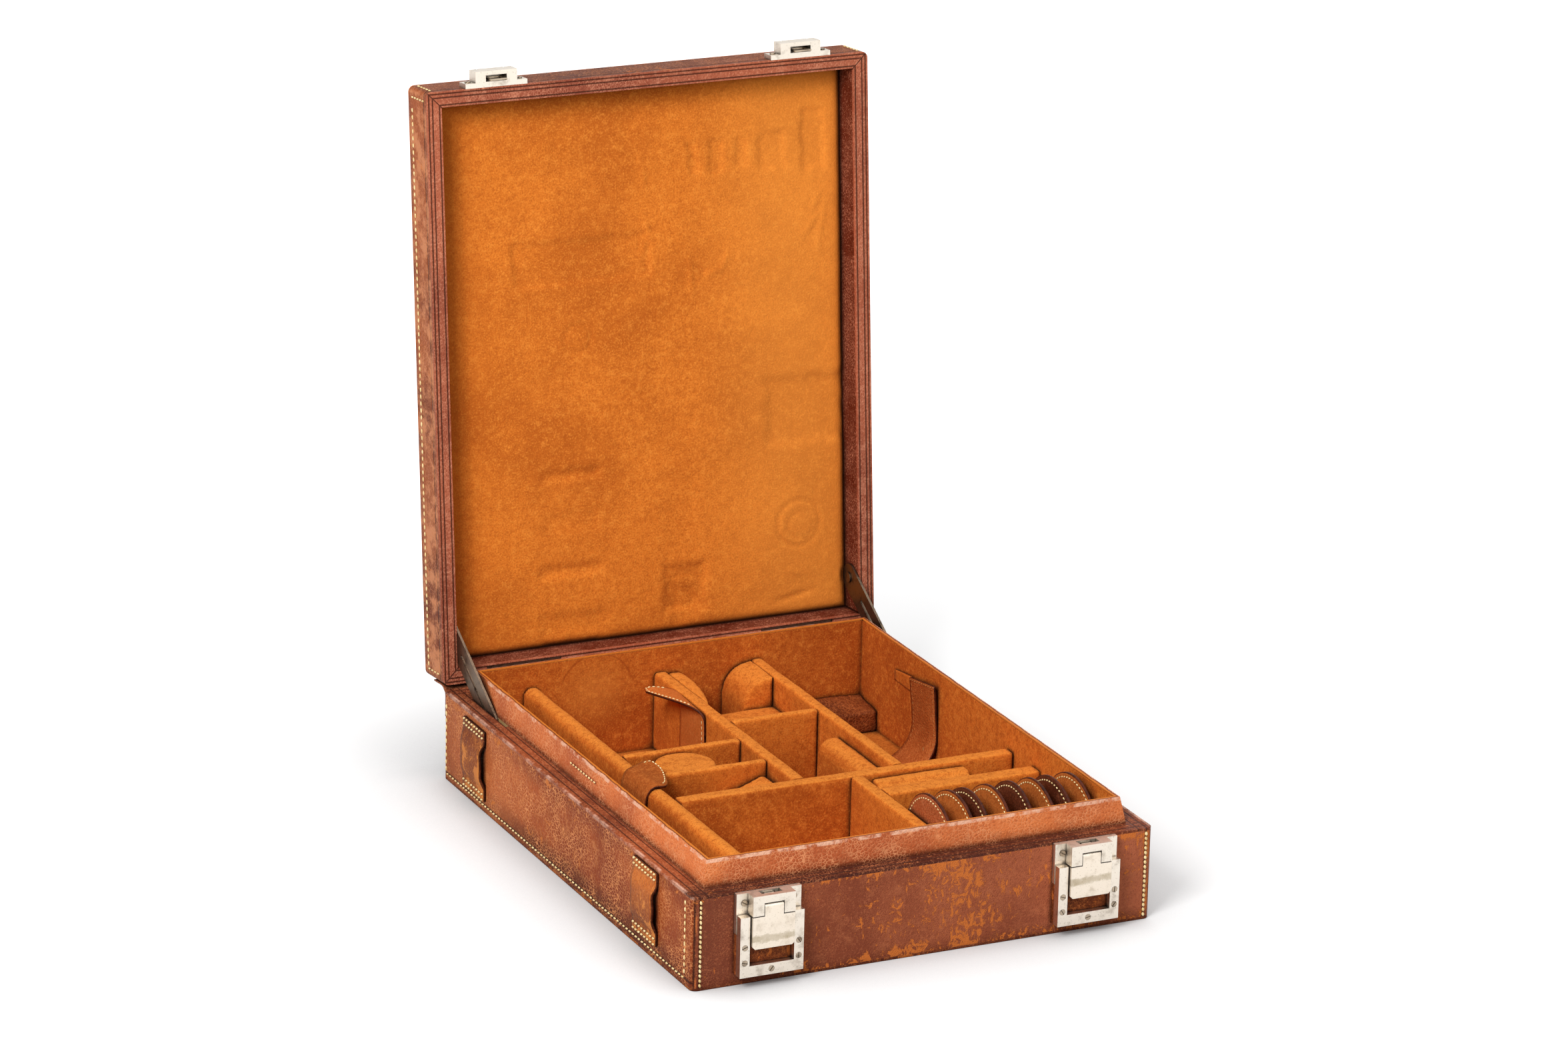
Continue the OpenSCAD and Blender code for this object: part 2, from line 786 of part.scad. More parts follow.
// The eight round pouches for filters, each standing on the floor
module filter_pouches() {
  edge_r = 1.2;
  x0 = bay_right + pouch_first_room;
  x1 = inner_x - pouch_last_room - pouch_t;
  way = [0, 0.1543, 0.2713, 0.4255, 0.5798, 0.7447, 0.8617, 1];
  free = rail_front + inner_y - 2 * pouch_r;
  y = -inner_y + pouch_r + free * pouch_forward;
  color(suede) for (w = way)
    translate([x0 + w * (x1 - x0), y, floor_top + pouch_r]) rotate([0, 90, 0])
      rotate_extrude($fn = 72) {
        square([pouch_r - edge_r, pouch_t]);
        translate([0, edge_r]) square([pouch_r, pouch_t - 2 * edge_r]);
        for (z = [edge_r, pouch_t - edge_r]) translate([pouch_r - edge_r, z])
          intersection() {
            circle(edge_r);
            translate([0, -far / 2]) square(far);
          }
      }
}

// The two leather loops on the left side, sewn flat at their top and bottom
module keeper_loops() {
  tab = 8;
  rise = 4;
  low = [7.7, 10];
  mid_y = [half_d - 52.2, 64.5 - half_d];
  outer = keeper_room + keeper_t;
  bend = keeper_t / 3;
  for (i = [0, 1]) {
    z0 = low[i];
    z1 = low[i] + keeper_h;
    profile = [[0, z0], [keeper_t, z0], [keeper_t, z0 + tab - 1], [outer, z0 + tab + rise],
      [outer, z1 - tab - rise], [keeper_t, z1 - tab + 1], [keeper_t, z1], [0, z1],
      [0, z1 - tab], [keeper_room, z1 - tab - rise - bend],
      [keeper_room, z0 + tab + rise + bend], [0, z0 + tab]];
    color(tan_leather) translate([-half_w - tiny, mid_y[i] + keeper_w / 2, 0])
      rotate([90, 0, 0]) mirror([1, 0, 0]) linear_extrude(keeper_w) polygon(profile);
  }
}

// A rod across a latch
module cross_rod(o, z, r, w) {
  translate([-w / 2, o, z]) rotate([0, 90, 0]) cylinder(r = r, h = w);
}

// A latch's back plate and hollow block, open at its top, its front and its back
module latch_housing(s) {
  color(nickel) at_latch(s) difference() {
    union() {
      latch_box(latch_plate_w, 0, latch_plate_t, plate_low, latch_top);
      latch_box(latch_block_w, 0, latch_block_out, block_low, latch_top);
    }
    latch_box(notch_w, latch_plate_t, cavity_out, block_low - 1, cavity_top);
    latch_box(notch_w, latch_plate_t, far, block_low - 1, latch_pin_z + knuckle_flap_r + 0.5);
    latch_box(top_notch_w, top_notch_o[0], top_notch_o[1], cavity_top - 3, far);
    latch_box(window_w, -1, latch_plate_t + 1, latch_top - mortise_h, cavity_top);
    cross_rod(latch_pin_o, latch_pin_z, latch_pin_r + pin_gap, notch_w + 5);
    latch_holes();
  }
}

// The latch at the left
module left_latch_housing() {
  latch_housing(-1);
}

// The latch at the right
module right_latch_housing() {
  latch_housing(1);
}

// The two frames around the flaps
module latch_frames() {
  for (s = [-1, 1]) color(nickel) at_latch(s) difference() {
    latch_box(latch_frame_w, latch_plate_t, frame_out, latch_low, frame_top);
    latch_box(latch_frame_w - 2 * latch_leg_w, 0, far, latch_low + bar_h, far);
    latch_holes();
    for (p = frame_screws)
      out_rod(p[0], p[1], screw_head_d / 2 + fit, frame_out - head_t, far);
  }
}

// The two leather packings between the frames and the case
module latch_packings() {
  inner = latch_frame_w - 2 * latch_leg_w - 2 * fit;
  for (s = [-1, 1]) color(red_leather) at_latch(s) difference() {
    union() {
      latch_box(latch_frame_w, 0, latch_plate_t, latch_low, plate_low);
      latch_box(inner, 0, latch_plate_t + 1, latch_low + bar_h + fit, plate_low);
    }
    latch_holes();
  }
}

// The pins that the flaps swing on
module latch_pins() {
  for (s = [-1, 1]) color(nickel) at_latch(s)
    cross_rod(latch_pin_o, latch_pin_z, latch_pin_r, notch_w + 5 - 2 * fit);
}

// The forked springs inside the latches
module latch_springs() {
  leg = [3.6, 5.6];
  for (s = [-1, 1]) color(nickel) at_latch(s) {
    latch_box(2 * leg[1], spring_o, cavity_out - fit, cavity_top - spring_t, cavity_top);
    for (i = [-1, 1])
      span([min(i * leg[0], i * leg[1]), spring_o, latch_pin_z - 2],
        [max(i * leg[0], i * leg[1]), spring_o + spring_t, cavity_top]);
  }
}

// A swinging flap with its tongue, its knuckle and the claw behind it
module latch_flap(s) {
  w = flap_w / 2;
  chamfer = 1.6;
  o = latch_pin_o;
  z = latch_pin_z;
  face = [[-w, flap_top], [-w, flap_low + chamfer], [chamfer - w, flap_low],
    [w - chamfer, flap_low], [w, flap_low + chamfer], [w, flap_top]];
  claw = [[o, z - 2.1], [o - 6.7, z - 0.5], [o - 6.7, z + 5.5], [o - 4.7, z + 5.5],
    [o - 4.7, z + 4.7], [o - 5.7, z + 4.7], [o - 5.7, z + 1], [o, z + 2.1]];
  color(nickel) at_latch(s) difference() {
    union() {
      translate([0, latch_block_out, 0]) rotate([90, 0, 0]) linear_extrude(flap_t) polygon(face);
      latch_box(tongue_w, latch_block_out - flap_t, latch_block_out, flap_top - 1, z);
      cross_rod(o, z, knuckle_flap_r, tongue_w);
      translate([-claw_w / 2, 0, 0]) rotate([90, 0, 90]) linear_extrude(claw_w) polygon(claw);
    }
    cross_rod(o, z, latch_pin_r + pin_gap, tongue_w + 2);
  }
}

// The flap of the left latch
module left_latch_flap() {
  latch_flap(-1);
}

// The flap of the right latch
module right_latch_flap() {
  latch_flap(1);
}

// The screws of the base: five on each frame, two on each back plate, and the hinges'
module base_screws() {
  color(nickel) {
    for (s = [-1, 1]) at_latch(s) {
      for (i = [0:4])
        slot_screw(frame_screws[i], frame_out - head_t, frame_out, screw_deep + leather_t,
          37 * i + 20 * s);
      for (p = plate_screws)
        slot_screw(p, latch_plate_t, latch_plate_t + head_t, screw_deep + leather_t, 30);
    }
    for (s = [-1, 1], x = hinge_screw_x)
      translate([s * hinge_x + x, hinge_screw_y, side_top]) {
        translate([0, 0, leaf_t / 2]) cylinder(r = hinge_head_r, h = leaf_t / 2);
        translate([0, 0, -screw_deep]) cylinder(r = hinge_screw_r, h = screw_deep + leaf_t / 2);
      }
  }
}

// One leaf of a butt hinge with its knuckles; first is 0 or 1, the knuckle it starts with
module hinge_leaf(z, first, head_up) {
  plate_y = hinge_y - leaf_d;
  edge_y = hinge_y - knuckle_r - 0.2;
  difference() {
    union() {
      span([-hinge_len / 2, plate_y, z], [hinge_len / 2, edge_y, z + leaf_t]);
      for (i = [first:2:knuckles - 1]) {
        x0 = i * knuckle_step - hinge_len / 2 + (i > 0 ? knuckle_gap / 2 : 0);
        x1 = (i + 1) * knuckle_step - hinge_len / 2 - (i < knuckles - 1 ? knuckle_gap / 2 : 0);
        span([x0, edge_y - 1, z], [x1, hinge_y, z + leaf_t]);
        translate([x0, hinge_y, hinge_z]) rotate([0, 90, 0]) cylinder(r = knuckle_r, h = x1 - x0);
      }
    }
    translate([-hinge_len, hinge_y, hinge_z]) rotate([0, 90, 0])
      cylinder(r = hinge_pin_r + pin_gap, h = 2 * hinge_len);
    for (x = hinge_screw_x) translate([x, hinge_screw_y, z]) {
      translate([0, 0, -1]) cylinder(r = hinge_screw_r + fit, h = leaf_t + 2);
      translate([0, 0, head_up ? leaf_t / 2 : -1])
        cylinder(r = hinge_head_r + fit, h = leaf_t / 2 + 1);
    }
  }
}

// The hinge leaves on the base
module hinge_base_leaves() {
  color(bronze) for (s = [-1, 1]) translate([s * hinge_x, 0, 0]) hinge_leaf(side_top, 0, true);
}

// The hinge leaves on the lid
module hinge_lid_leaves() {
  color(bronze) opened() for (s = [-1, 1])
    translate([s * hinge_x, 0, 0]) hinge_leaf(lid_wall_low - leaf_t, 1, false);
}

// The hinge pins
module hinge_pins() {
  color(bronze) for (s = [-1, 1])
    translate([s * hinge_x - hinge_len / 2, hinge_y, hinge_z]) rotate([0, 90, 0])
      cylinder(r = hinge_pin_r, h = hinge_len);
}

// Holes in the lid for the rivets of the stays
module rivet_holes() {
  for (s = [-1, 1]) flip(s) translate([lid_in_x - 1, rivet_y, rivet_z]) rotate([0, 90, 0])
    cylinder(r = rivet_r + fit, h = 5 + fit);
}

// Screw holes for the catches
module catch_holes() {
  for (p = catch_screws)
    out_rod(p[0], p[1], screw_r + fit, -screw_deep - leather_t, catch_out + 1);
}

// The wooden box of the lid
module lid_carcass() {
  color(wood) opened() difference() {
    plan_block(leather_t, lid_wall_low, lid_side_top);
    room(lid_in_x + lid_lining_t, lid_in_y + lid_lining_t, lid_wall_low - 1, lid_board_low);
    for (s = [-1, 1]) at_latch(s) catch_holes();
    rivet_holes();
    hinge_screw_holes(lid_wall_low - 1, lid_wall_low + screw_deep + fit);
  }
}

// The leather on top of the lid
module lid_top_leather() {
  color(red_leather) opened() plan_block(0, lid_side_top, lid_top);
}

// The front leather of the lid
module lid_front_leather() {
  color(red_leather) opened() difference() {
    side_leather(0, lid_wall_low, lid_side_top);
    for (s = [-1, 1]) at_latch(s) catch_holes();
  }
}

// The back leather of the lid, notched for the hinges
module lid_back_leather() {
  color(red_leather) opened() difference() {
    side_leather(1, lid_wall_low, lid_side_top);
    hinge_room(lid_wall_low - 1, hinge_z + knuckle_r + leaf_gap, false);
  }
}

// The left leather of the lid
module lid_left_leather() {
  color(red_leather) opened() side_leather(2, lid_wall_low, lid_side_top);
}

// The right leather of the lid
module lid_right_leather() {
  color(red_leather) opened() side_leather(3, lid_wall_low, lid_side_top);
}

// The leather on the lid's rim and on its inner walls
module lid_rim_leather() {
  color(tan_leather) opened() difference() {
    union() {
      plan_block(0, lid_rim, lid_wall_low);
      room(lid_in_x + lid_lining_t, lid_in_y + lid_lining_t, lid_wall_low, lid_board_low);
    }
    room(lid_in_x, lid_in_y, lid_rim - 1, far);
    hinge_room(lid_rim - 1, lid_wall_low, true);
    rivet_holes();
  }
}

// Rows of the padded panel, closer together near its edges
panel_nx = 20;
panel_ny = 26;
panel_edge = 6;
panel_fall = 2.6;
function panel_at(half, i, n) = half * sin(180 * i / (n - 1) - 90);
function edge_fall(d) = d > panel_edge ? 0 : panel_fall * pow(1 - d / panel_edge, 2);
function panel_height(x, y, hx, hy) =
  panel_z - panel_crown * (1 - pow(x / hx, 2)) * (1 - pow(y / hy, 2))
  + max(edge_fall(hx - abs(x)), edge_fall(hy - abs(y)));

// The padded suede panel inside the lid
module lid_padded_panel() {
  hx = lid_in_x - tiny;
  hy = lid_in_y - tiny;
  n = panel_nx;
  m = panel_ny;
  under = [for (j = [0:m - 1], i = [0:n - 1])
    [panel_at(hx, i, n), panel_at(hy, j, m),
      panel_height(panel_at(hx, i, n), panel_at(hy, j, m), hx, hy)]];
  rim_ids = [
    for (i = [0:n - 2]) i,
    for (j = [0:m - 2]) j * n + n - 1,
    for (i = [n - 1:-1:1]) (m - 1) * n + i,
    for (j = [m - 1:-1:1]) j * n
  ];
  k = len(rim_ids);
  over = [for (id = rim_ids) [under[id][0], under[id][1], lid_board_low]];
  hub = n * m + k;
  cells = [for (j = [0:m - 2], i = [0:n - 2]) j * n + i];
  faces = concat(
    [for (c = cells) [c, c + 1, c + n + 1]],
    [for (c = cells) [c, c + n + 1, c + n]],
    [for (i = [0:k - 1]) [rim_ids[i], n * m + i, n * m + (i + 1) % k]],
    [for (i = [0:k - 1]) [rim_ids[i], n * m + (i + 1) % k, rim_ids[(i + 1) % k]]],
    [for (i = [0:k - 1]) [n * m + i, hub, n * m + (i + 1) % k]]
  );
  color(suede) opened() difference() {
    polyhedron(concat(under, over, [[0, 0, lid_board_low]]), faces);
    for (s = [-1, 1]) flip(s) translate([stay_x - 0.4, rivet_y, rivet_z]) rotate([0, 90, 0])
      cylinder(r = stay_w / 2 + 0.4, h = far);
  }
}

// A catch on the front of the lid, slotted for its striker
slot_half = 7;
slot_o = [3.4, 7.4];
slot_deep = 6.7;
module catch(s) {
  nick = 1.2;
  color(nickel) opened() at_latch(s) difference() {
    union() {
      latch_box(catch_w, 0, 3, lid_rim, lid_rim + catch_h);
      latch_box(catch_block_w, 0, catch_out, lid_rim, lid_rim + catch_h);
    }
    latch_box(2 * slot_half, slot_o[0], slot_o[1], lid_rim - 1, lid_rim + slot_deep);
    for (i = [-1, 1]) translate([i * 9, 0, 0])
      latch_box(nick, catch_out - nick, far, lid_rim + catch_h - nick, far);
    catch_holes();
  }
}

// The catch at the left
module left_catch() {
  catch(-1);
}

// The catch at the right
module right_catch() {
  catch(1);
}

// The striker bars that hang from the catches
module strikers() {
  half = 5.6;
  o1 = striker_o + striker_t;
  top = lid_rim + slot_deep;
  color(nickel) opened() for (s = [-1, 1]) at_latch(s) {
    latch_box(2 * half, striker_o, o1, striker_z[0], striker_z[1]);
    for (i = [-1, 1]) translate([i * (half - 0.7), 0, 0])
      latch_box(1.4, striker_o, o1, striker_z[0], top);
    latch_box(2 * slot_half - fit, striker_o, o1, top - 1.6, top);
  }
}

// The screws of the lid: one through each catch's ear, and the hinges'
module lid_screws() {
  color(nickel) opened() {
    for (s = [-1, 1], p = catch_screws) at_latch(s)
      slot_screw(p, 3, 3 + head_t, screw_deep + leather_t, 50 * s);
    for (s = [-1, 1], x = hinge_screw_x)
      translate([s * hinge_x + x, hinge_screw_y, lid_wall_low]) {
        translate([0, 0, -leaf_t]) cylinder(r = hinge_head_r, h = leaf_t / 2);
        translate([0, 0, -leaf_t / 2]) cylinder(r = hinge_screw_r, h = screw_deep + leaf_t / 2);
      }
  }
}

// The rivets that the stays turn on
module stay_rivets() {
  head = 0.9;
  color(bronze) opened() for (s = [-1, 1]) flip(s)
    translate([stay_x - fit, rivet_y, rivet_z]) rotate([0, 90, 0]) {
      translate([0, 0, -head]) cylinder(r = rivet_r + 1.4, h = head);
      cylinder(r = rivet_r, h = lid_in_x + 4 - stay_x);
    }
}

// The outline of a stay, from its rivet to its lower end
module stay_outline() {
  slot = [22, 72];
  slot_r = 1.3;
  chamfer = 2;
  w = stay_w / 2;
  difference() {
    union() {
      circle(w);
      polygon([[0, -w], [stay_len - chamfer, -w], [stay_len, chamfer - w],
        [stay_len, w - chamfer], [stay_len - chamfer, w], [0, w]]);
    }
    circle(rivet_r + pin_gap);
    translate([slot[0], -slot_r]) square([slot[1] - slot[0], 2 * slot_r]);
    for (x = slot) translate([x, 0]) circle(slot_r);
  }
}

// A stay in the open lid's place
module stay(s) {
  color(bronze) flip(s) translate([stay_x, rivet_open_y, rivet_open_z])
    rotate([180 + stay_slope, 0, 0]) rotate([90, 0, 90]) linear_extrude(stay_t) stay_outline();
}

// The stay at the left
module left_stay() {
  stay(-1);
}

// The stay at the right
module right_stay() {
  stay(1);
}

base_carcass();
base_front_leather();
base_back_leather();
base_left_leather();
base_right_leather();
base_bottom_leather();
ledge_leather();
inner_frame();
lip_leather();
base_lining();
base_floor_lining();
rolled_divider();
middle_divider();
right_divider();
front_cross_divider();
back_cross_divider();
short_cross_divider();
centre_cross_divider();
filter_bay_divider();
filter_rail();
lens_rest_pad();
small_well_pad();
half_round_pad();
round_fronted_pad();
back_well_pad();
centre_well_pad();
stepped_pad();
corner_block();
wall_strap();
long_pull_tab();
short_pull_tab();
filter_pouches();
keeper_loops();
left_latch_housing();
right_latch_housing();
latch_frames();
latch_packings();
latch_pins();
latch_springs();
base_screws();
hinge_base_leaves();
hinge_pins();
left_latch_flap();
right_latch_flap();
lid_carcass();
lid_top_leather();
lid_front_leather();
lid_back_leather();
lid_left_leather();
lid_right_leather();
lid_rim_leather();
lid_padded_panel();
left_catch();
right_catch();
strikers();
lid_screws();
hinge_lid_leaves();
stay_rivets();
left_stay();
right_stay();
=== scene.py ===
"""Looks of the leather camera case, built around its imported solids. Metres, +Z up."""

import math
import random

import bmesh
import bpy
from mathutils import Matrix, Vector, noise


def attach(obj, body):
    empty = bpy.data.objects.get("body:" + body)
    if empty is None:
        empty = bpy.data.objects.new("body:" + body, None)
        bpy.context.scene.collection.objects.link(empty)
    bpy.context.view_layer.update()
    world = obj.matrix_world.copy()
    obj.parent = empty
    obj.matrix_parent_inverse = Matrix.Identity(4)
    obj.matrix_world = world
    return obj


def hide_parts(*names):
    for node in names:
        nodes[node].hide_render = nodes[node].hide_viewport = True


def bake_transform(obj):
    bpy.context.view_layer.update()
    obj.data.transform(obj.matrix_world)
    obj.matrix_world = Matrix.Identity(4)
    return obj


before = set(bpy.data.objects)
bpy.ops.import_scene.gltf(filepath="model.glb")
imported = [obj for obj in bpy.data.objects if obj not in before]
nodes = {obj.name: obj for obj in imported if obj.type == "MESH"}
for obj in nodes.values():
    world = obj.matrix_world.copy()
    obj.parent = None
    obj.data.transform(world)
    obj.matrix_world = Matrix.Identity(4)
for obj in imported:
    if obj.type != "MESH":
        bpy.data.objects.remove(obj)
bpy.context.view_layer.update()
MM = 0.001
X, Y, Z = 0, 1, 2

# Sizes of the case in millimetres, as the solids have them
HALF_W = 150.0
HALF_D = 188.0
LIP_TOP = 74.0
FLOOR = 6.4
LID_ANGLE = 94.9
HINGE = (189.3, 59.0)

# Camera, solved from the photograph's straight edges: place in millimetres, angles in radians
CAMERA_AT = (-1525.7, -3151.6, 1376.5)
CAMERA_AZ = -0.449
CAMERA_EL = 0.322
CAMERA_ROLL = 0.023
FOCAL_PX = 9201.3
PICTURE_W = 2352
SENSOR_MM = 36.0


def mm(*p):
    """A point in millimetres as a vector in metres."""
    return Vector(p) * MM


def opened(p):
    """The open lid's place of a point that is given on the closed lid, in millimetres."""
    a = math.radians(LID_ANGLE)
    y, z = p[1] - HINGE[0], p[2] - HINGE[1]
    c, s = math.cos(a), math.sin(a)
    return (p[0], HINGE[0] + y * c + z * s, HINGE[1] - y * s + z * c)


def new_object(name, data):
    obj = bpy.data.objects.new(name, data)
    bpy.context.scene.collection.objects.link(obj)
    return obj


def make_camera():
    data = bpy.data.cameras.new("photo_camera")
    cam = new_object("photo_camera", data)
    ca, sa = math.cos(CAMERA_AZ), math.sin(CAMERA_AZ)
    ce, se = math.cos(CAMERA_EL), math.sin(CAMERA_EL)
    cr, sr = math.cos(CAMERA_ROLL), math.sin(CAMERA_ROLL)
    right = Vector((ca, sa, 0))
    ahead = Vector((-sa * ce, ca * ce, -se))
    up = right.cross(ahead)
    turn = Matrix((right * cr + up * sr, up * cr - right * sr, -ahead)).transposed().to_4x4()
    cam.matrix_world = Matrix.Translation(mm(*CAMERA_AT)) @ turn
    data.sensor_width = SENSOR_MM
    data.lens = FOCAL_PX / PICTURE_W * SENSOR_MM
    data.clip_start = 0.05
    data.clip_end = 50
    bpy.context.scene.camera = cam
    bpy.context.scene.view_settings.view_transform = "Standard"


make_camera()


# Writers of shader nodes

def srgb(r, g, b):
    """A colour given as the photograph's 0 to 255 values, as linear light."""
    def line(v):
        v /= 255
        return v / 12.92 if v <= 0.04045 else ((v + 0.055) / 1.055) ** 2.4
    return (line(r), line(g), line(b))


class Nodes:
    """Writes shader nodes into a tree: the calls below add nodes and return an output."""

    def __init__(self, tree):
        self.tree = tree

    def add(self, kind, inputs=(), **settings):
        """A new node, its inputs given by name or number as values or other nodes' outputs."""
        node = self.tree.nodes.new(kind)
        for key, value in settings.items():
            setattr(node, key, value)
        for key, value in dict(inputs).items():
            self.put(node.inputs[key], value)
        return node

    def put(self, socket, value):
        if isinstance(value, bpy.types.NodeSocket):
            self.tree.links.new(value, socket)
        else:
            socket.default_value = value

    def math(self, op, *values):
        return self.add("ShaderNodeMath", enumerate(values), operation=op).outputs[0]

    def plus(self, a, b):
        return self.math("ADD", a, b)

    def minus(self, a, b):
        return self.math("SUBTRACT", a, b)

    def times(self, a, b):
        return self.math("MULTIPLY", a, b)

    def size(self, a):
        return self.math("ABSOLUTE", a)

    def other(self, a):
        """1 where a mask is 0, and 0 where it is 1."""
        return self.minus(1.0, a)

    def either(self, values):
        out = values[0]
        for value in values[1:]:
            out = self.math("MAXIMUM", out, value)
        return out

    def spread(self, value, low, high, first=0.0, last=1.0, kind="LINEAR"):
        """The first value at low and below, the last at high and above."""
        inputs = {"Value": value, "From Min": low, "From Max": high, "To Min": first,
                  "To Max": last}
        return self.add("ShaderNodeMapRange", inputs, interpolation_type=kind).outputs[0]

    def step(self, value, low, high):
        """0 below low, 1 above high, smooth between them."""
        return self.spread(value, low, high, kind="SMOOTHSTEP")

    def mix(self, factor, a, b):
        """Between two tones; a colour is given in 0 to 255 values."""
        a, b = ((*srgb(*tone), 1) if isinstance(tone, tuple) else tone for tone in (a, b))
        return self.add("ShaderNodeMix", {0: factor, 6: a, 7: b}, data_type="RGBA").outputs[2]

    def tint(self, tone, colour, mask, strength):
        return self.mix(self.times(mask, strength), tone, colour)

    def openness(self, reach, samples=4):
        """1 in the open, less in a corner, looked for within a reach in metres."""
        node = self.add("ShaderNodeAmbientOcclusion", {"Distance": reach}, samples=samples)
        return node.outputs["AO"]

    def seen_directly(self, otherwise, strength):
        """A value that is higher for the camera, for reflections and through glass."""
        path = self.add("ShaderNodeLightPath").outputs
        seen = [path[ray] for ray in ("Is Camera Ray", "Is Glossy Ray", "Is Transmission Ray")]
        return self.spread(self.either(seen), 0.0, 1.0, otherwise, strength)


class Looks(Nodes):
    """Writes a material. Places are in metres on the part at rest, or on the closed lid."""

    def __init__(self, name, lid=False):
        self.material = bpy.data.materials.new(name)
        self.material.use_nodes = True
        super().__init__(self.material.node_tree)
        self.shader = self.tree.nodes["Principled BSDF"]
        self.place = self.add("ShaderNodeTexCoord").outputs["Object"]
        if lid:
            turn = math.radians(LID_ANGLE)
            centre = mm(0, *HINGE)
            shift = centre - Matrix.Rotation(turn, 3, "X") @ centre
            self.place = self.mapped(place=shift, turn=(turn, 0, 0))

    def set(self, name, value):
        self.put(self.shader.inputs[name], value)

    def mapped(self, scale=(1, 1, 1), place=(0, 0, 0), turn=(0, 0, 0)):
        inputs = {"Vector": self.place, "Scale": scale, "Location": place, "Rotation": turn}
        return self.add("ShaderNodeMapping", inputs).outputs[0]

    def noise(self, scale, detail, rough, source=None, twist=0.0):
        inputs = {"Vector": source or self.place, "Scale": scale, "Detail": detail,
                  "Roughness": rough, "Distortion": twist}
        return self.add("ShaderNodeTexNoise", inputs).outputs["Fac"]

    def pores(self, scale, source):
        """The distance to the edges of small cells."""
        inputs = {"Vector": source, "Scale": scale}
        node = self.add("ShaderNodeTexVoronoi", inputs, feature="DISTANCE_TO_EDGE")
        return node.outputs["Distance"]

    def axis(self, which):
        return self.add("ShaderNodeSeparateXYZ", {0: self.place}).outputs[which]

    def bump(self, height, strength, distance):
        inputs = {"Height": height, "Strength": strength, "Distance": distance}
        self.set("Normal", self.add("ShaderNodeBump", inputs).outputs[0])

    def grown(self, axis, first, second):
        """0 at the first place on an axis and 1 at the second, in millimetres."""
        return self.step(self.axis(axis), first * MM, second * MM)

    def near(self, axis, value, width, both_signs=True):
        """1 where an axis has that value in millimetres, fading to 0 over a width."""
        coord = self.size(self.axis(axis)) if both_signs else self.axis(axis)
        away = self.size(self.minus(coord, value * MM))
        return self.other(self.step(away, 0.0, width * MM))

    def near_any(self, places):
        return self.either([self.near(*place) for place in places])

    def thin_line(self, value, centre):
        """1 on a line about a millimetre wide, where a measure has the centre's millimetres."""
        away = self.size(self.minus(value, centre * MM))
        return self.other(self.step(away, 0.1 * MM, 0.7 * MM))

    def paint_corner_shade(self, tone, dark, strength, reach):
        """Sets the base colour with painted shade: darker in tight corners and almost black along
        the seams.
        """
        corner = self.other(self.step(self.openness(reach), 0.3, 0.72))
        tone = self.tint(tone, dark, corner, strength)
        seam_shade = self.other(self.step(self.openness(reach * 0.28), 0.4, 0.85))
        self.set("Base Color", self.tint(tone, dark, seam_shade, strength * 0.9))


# Leather. Colours are in 0 to 255 values

MAROON = (92, 40, 22)
DEEP = (46, 18, 9)
ORANGE = (204, 112, 48)
HIGHLIGHT_PALE = (236, 188, 160)
SUEDE_TOP = (206, 118, 44)
LIP_TOP_HALVES = (133.6, 171.6)
CORNER_SHADE_REACH = 0.007


def scuffs(n, scuff_at, island, worn_edges, calm):
    """1 in ragged islands and slanted strokes, where the top of the leather is worn away."""
    region = n.noise(16.0, 3.0, 0.6, twist=0.6)
    islands = n.noise(island, 10.0, 0.7, twist=0.9)
    slanted = n.mapped(scale=(1.4, 1, 0.45), turn=(0, 0.35, 0.1))
    strokes = n.noise(island * 1.5, 7.0, 0.7, slanted)
    level = n.math("MAXIMUM", islands, n.minus(strokes, 0.02))
    level = n.plus(level, n.times(n.step(region, 0.42, 0.66), 0.1))
    if worn_edges:
        level = n.plus(level, n.times(n.near_any(worn_edges), 0.1))
    if calm:
        level = n.minus(level, n.times(n.grown(*calm), 0.12))
    return n.times(n.step(level, scuff_at, scuff_at + 0.03), 0.85)


def mitre(n, distances):
    """1 on the corners' joints and on lines along the lid's edge, at distances in from it."""
    from_x = n.minus(HALF_W * MM, n.size(n.axis(X)))
    from_y = n.minus(HALF_D * MM, n.size(n.axis(Y)))
    inward = n.math("MINIMUM", from_x, from_y)
    joint = n.thin_line(n.minus(from_x, from_y), 0.0)
    return n.either([joint] + [n.thin_line(inward, v) for v in distances])


def suede_on_lip(n, tone, blotch):
    """The lip's top: suede inside a torn edge, with a dark line and a painted highlight along it.
    """
    half_x, half_y = LIP_TOP_HALVES
    over = n.math("MAXIMUM", n.minus(n.size(n.axis(X)), half_x * MM),
                  n.minus(n.size(n.axis(Y)), half_y * MM))
    torn = n.minus(n.noise(90.0, 4.0, 0.65), 0.5)
    over = n.plus(over, n.times(torn, 2.4 * MM))
    above = n.grown(Z, LIP_TOP - 2.2, LIP_TOP - 2.0)
    inside = n.times(n.other(n.step(over, 0.0, 0.3 * MM)), above)
    # Painted highlight: a thin pale line along the edge, in places.
    edge_highlight = n.times(n.times(n.thin_line(over, 1.5), above), n.step(blotch, 0.4, 0.56))
    tone = n.mix(inside, tone, SUEDE_TOP)
    tone = n.tint(tone, DEEP, n.times(n.thin_line(over, 0.5), above), 0.8)
    return n.tint(tone, HIGHLIGHT_PALE, edge_highlight, 0.75)


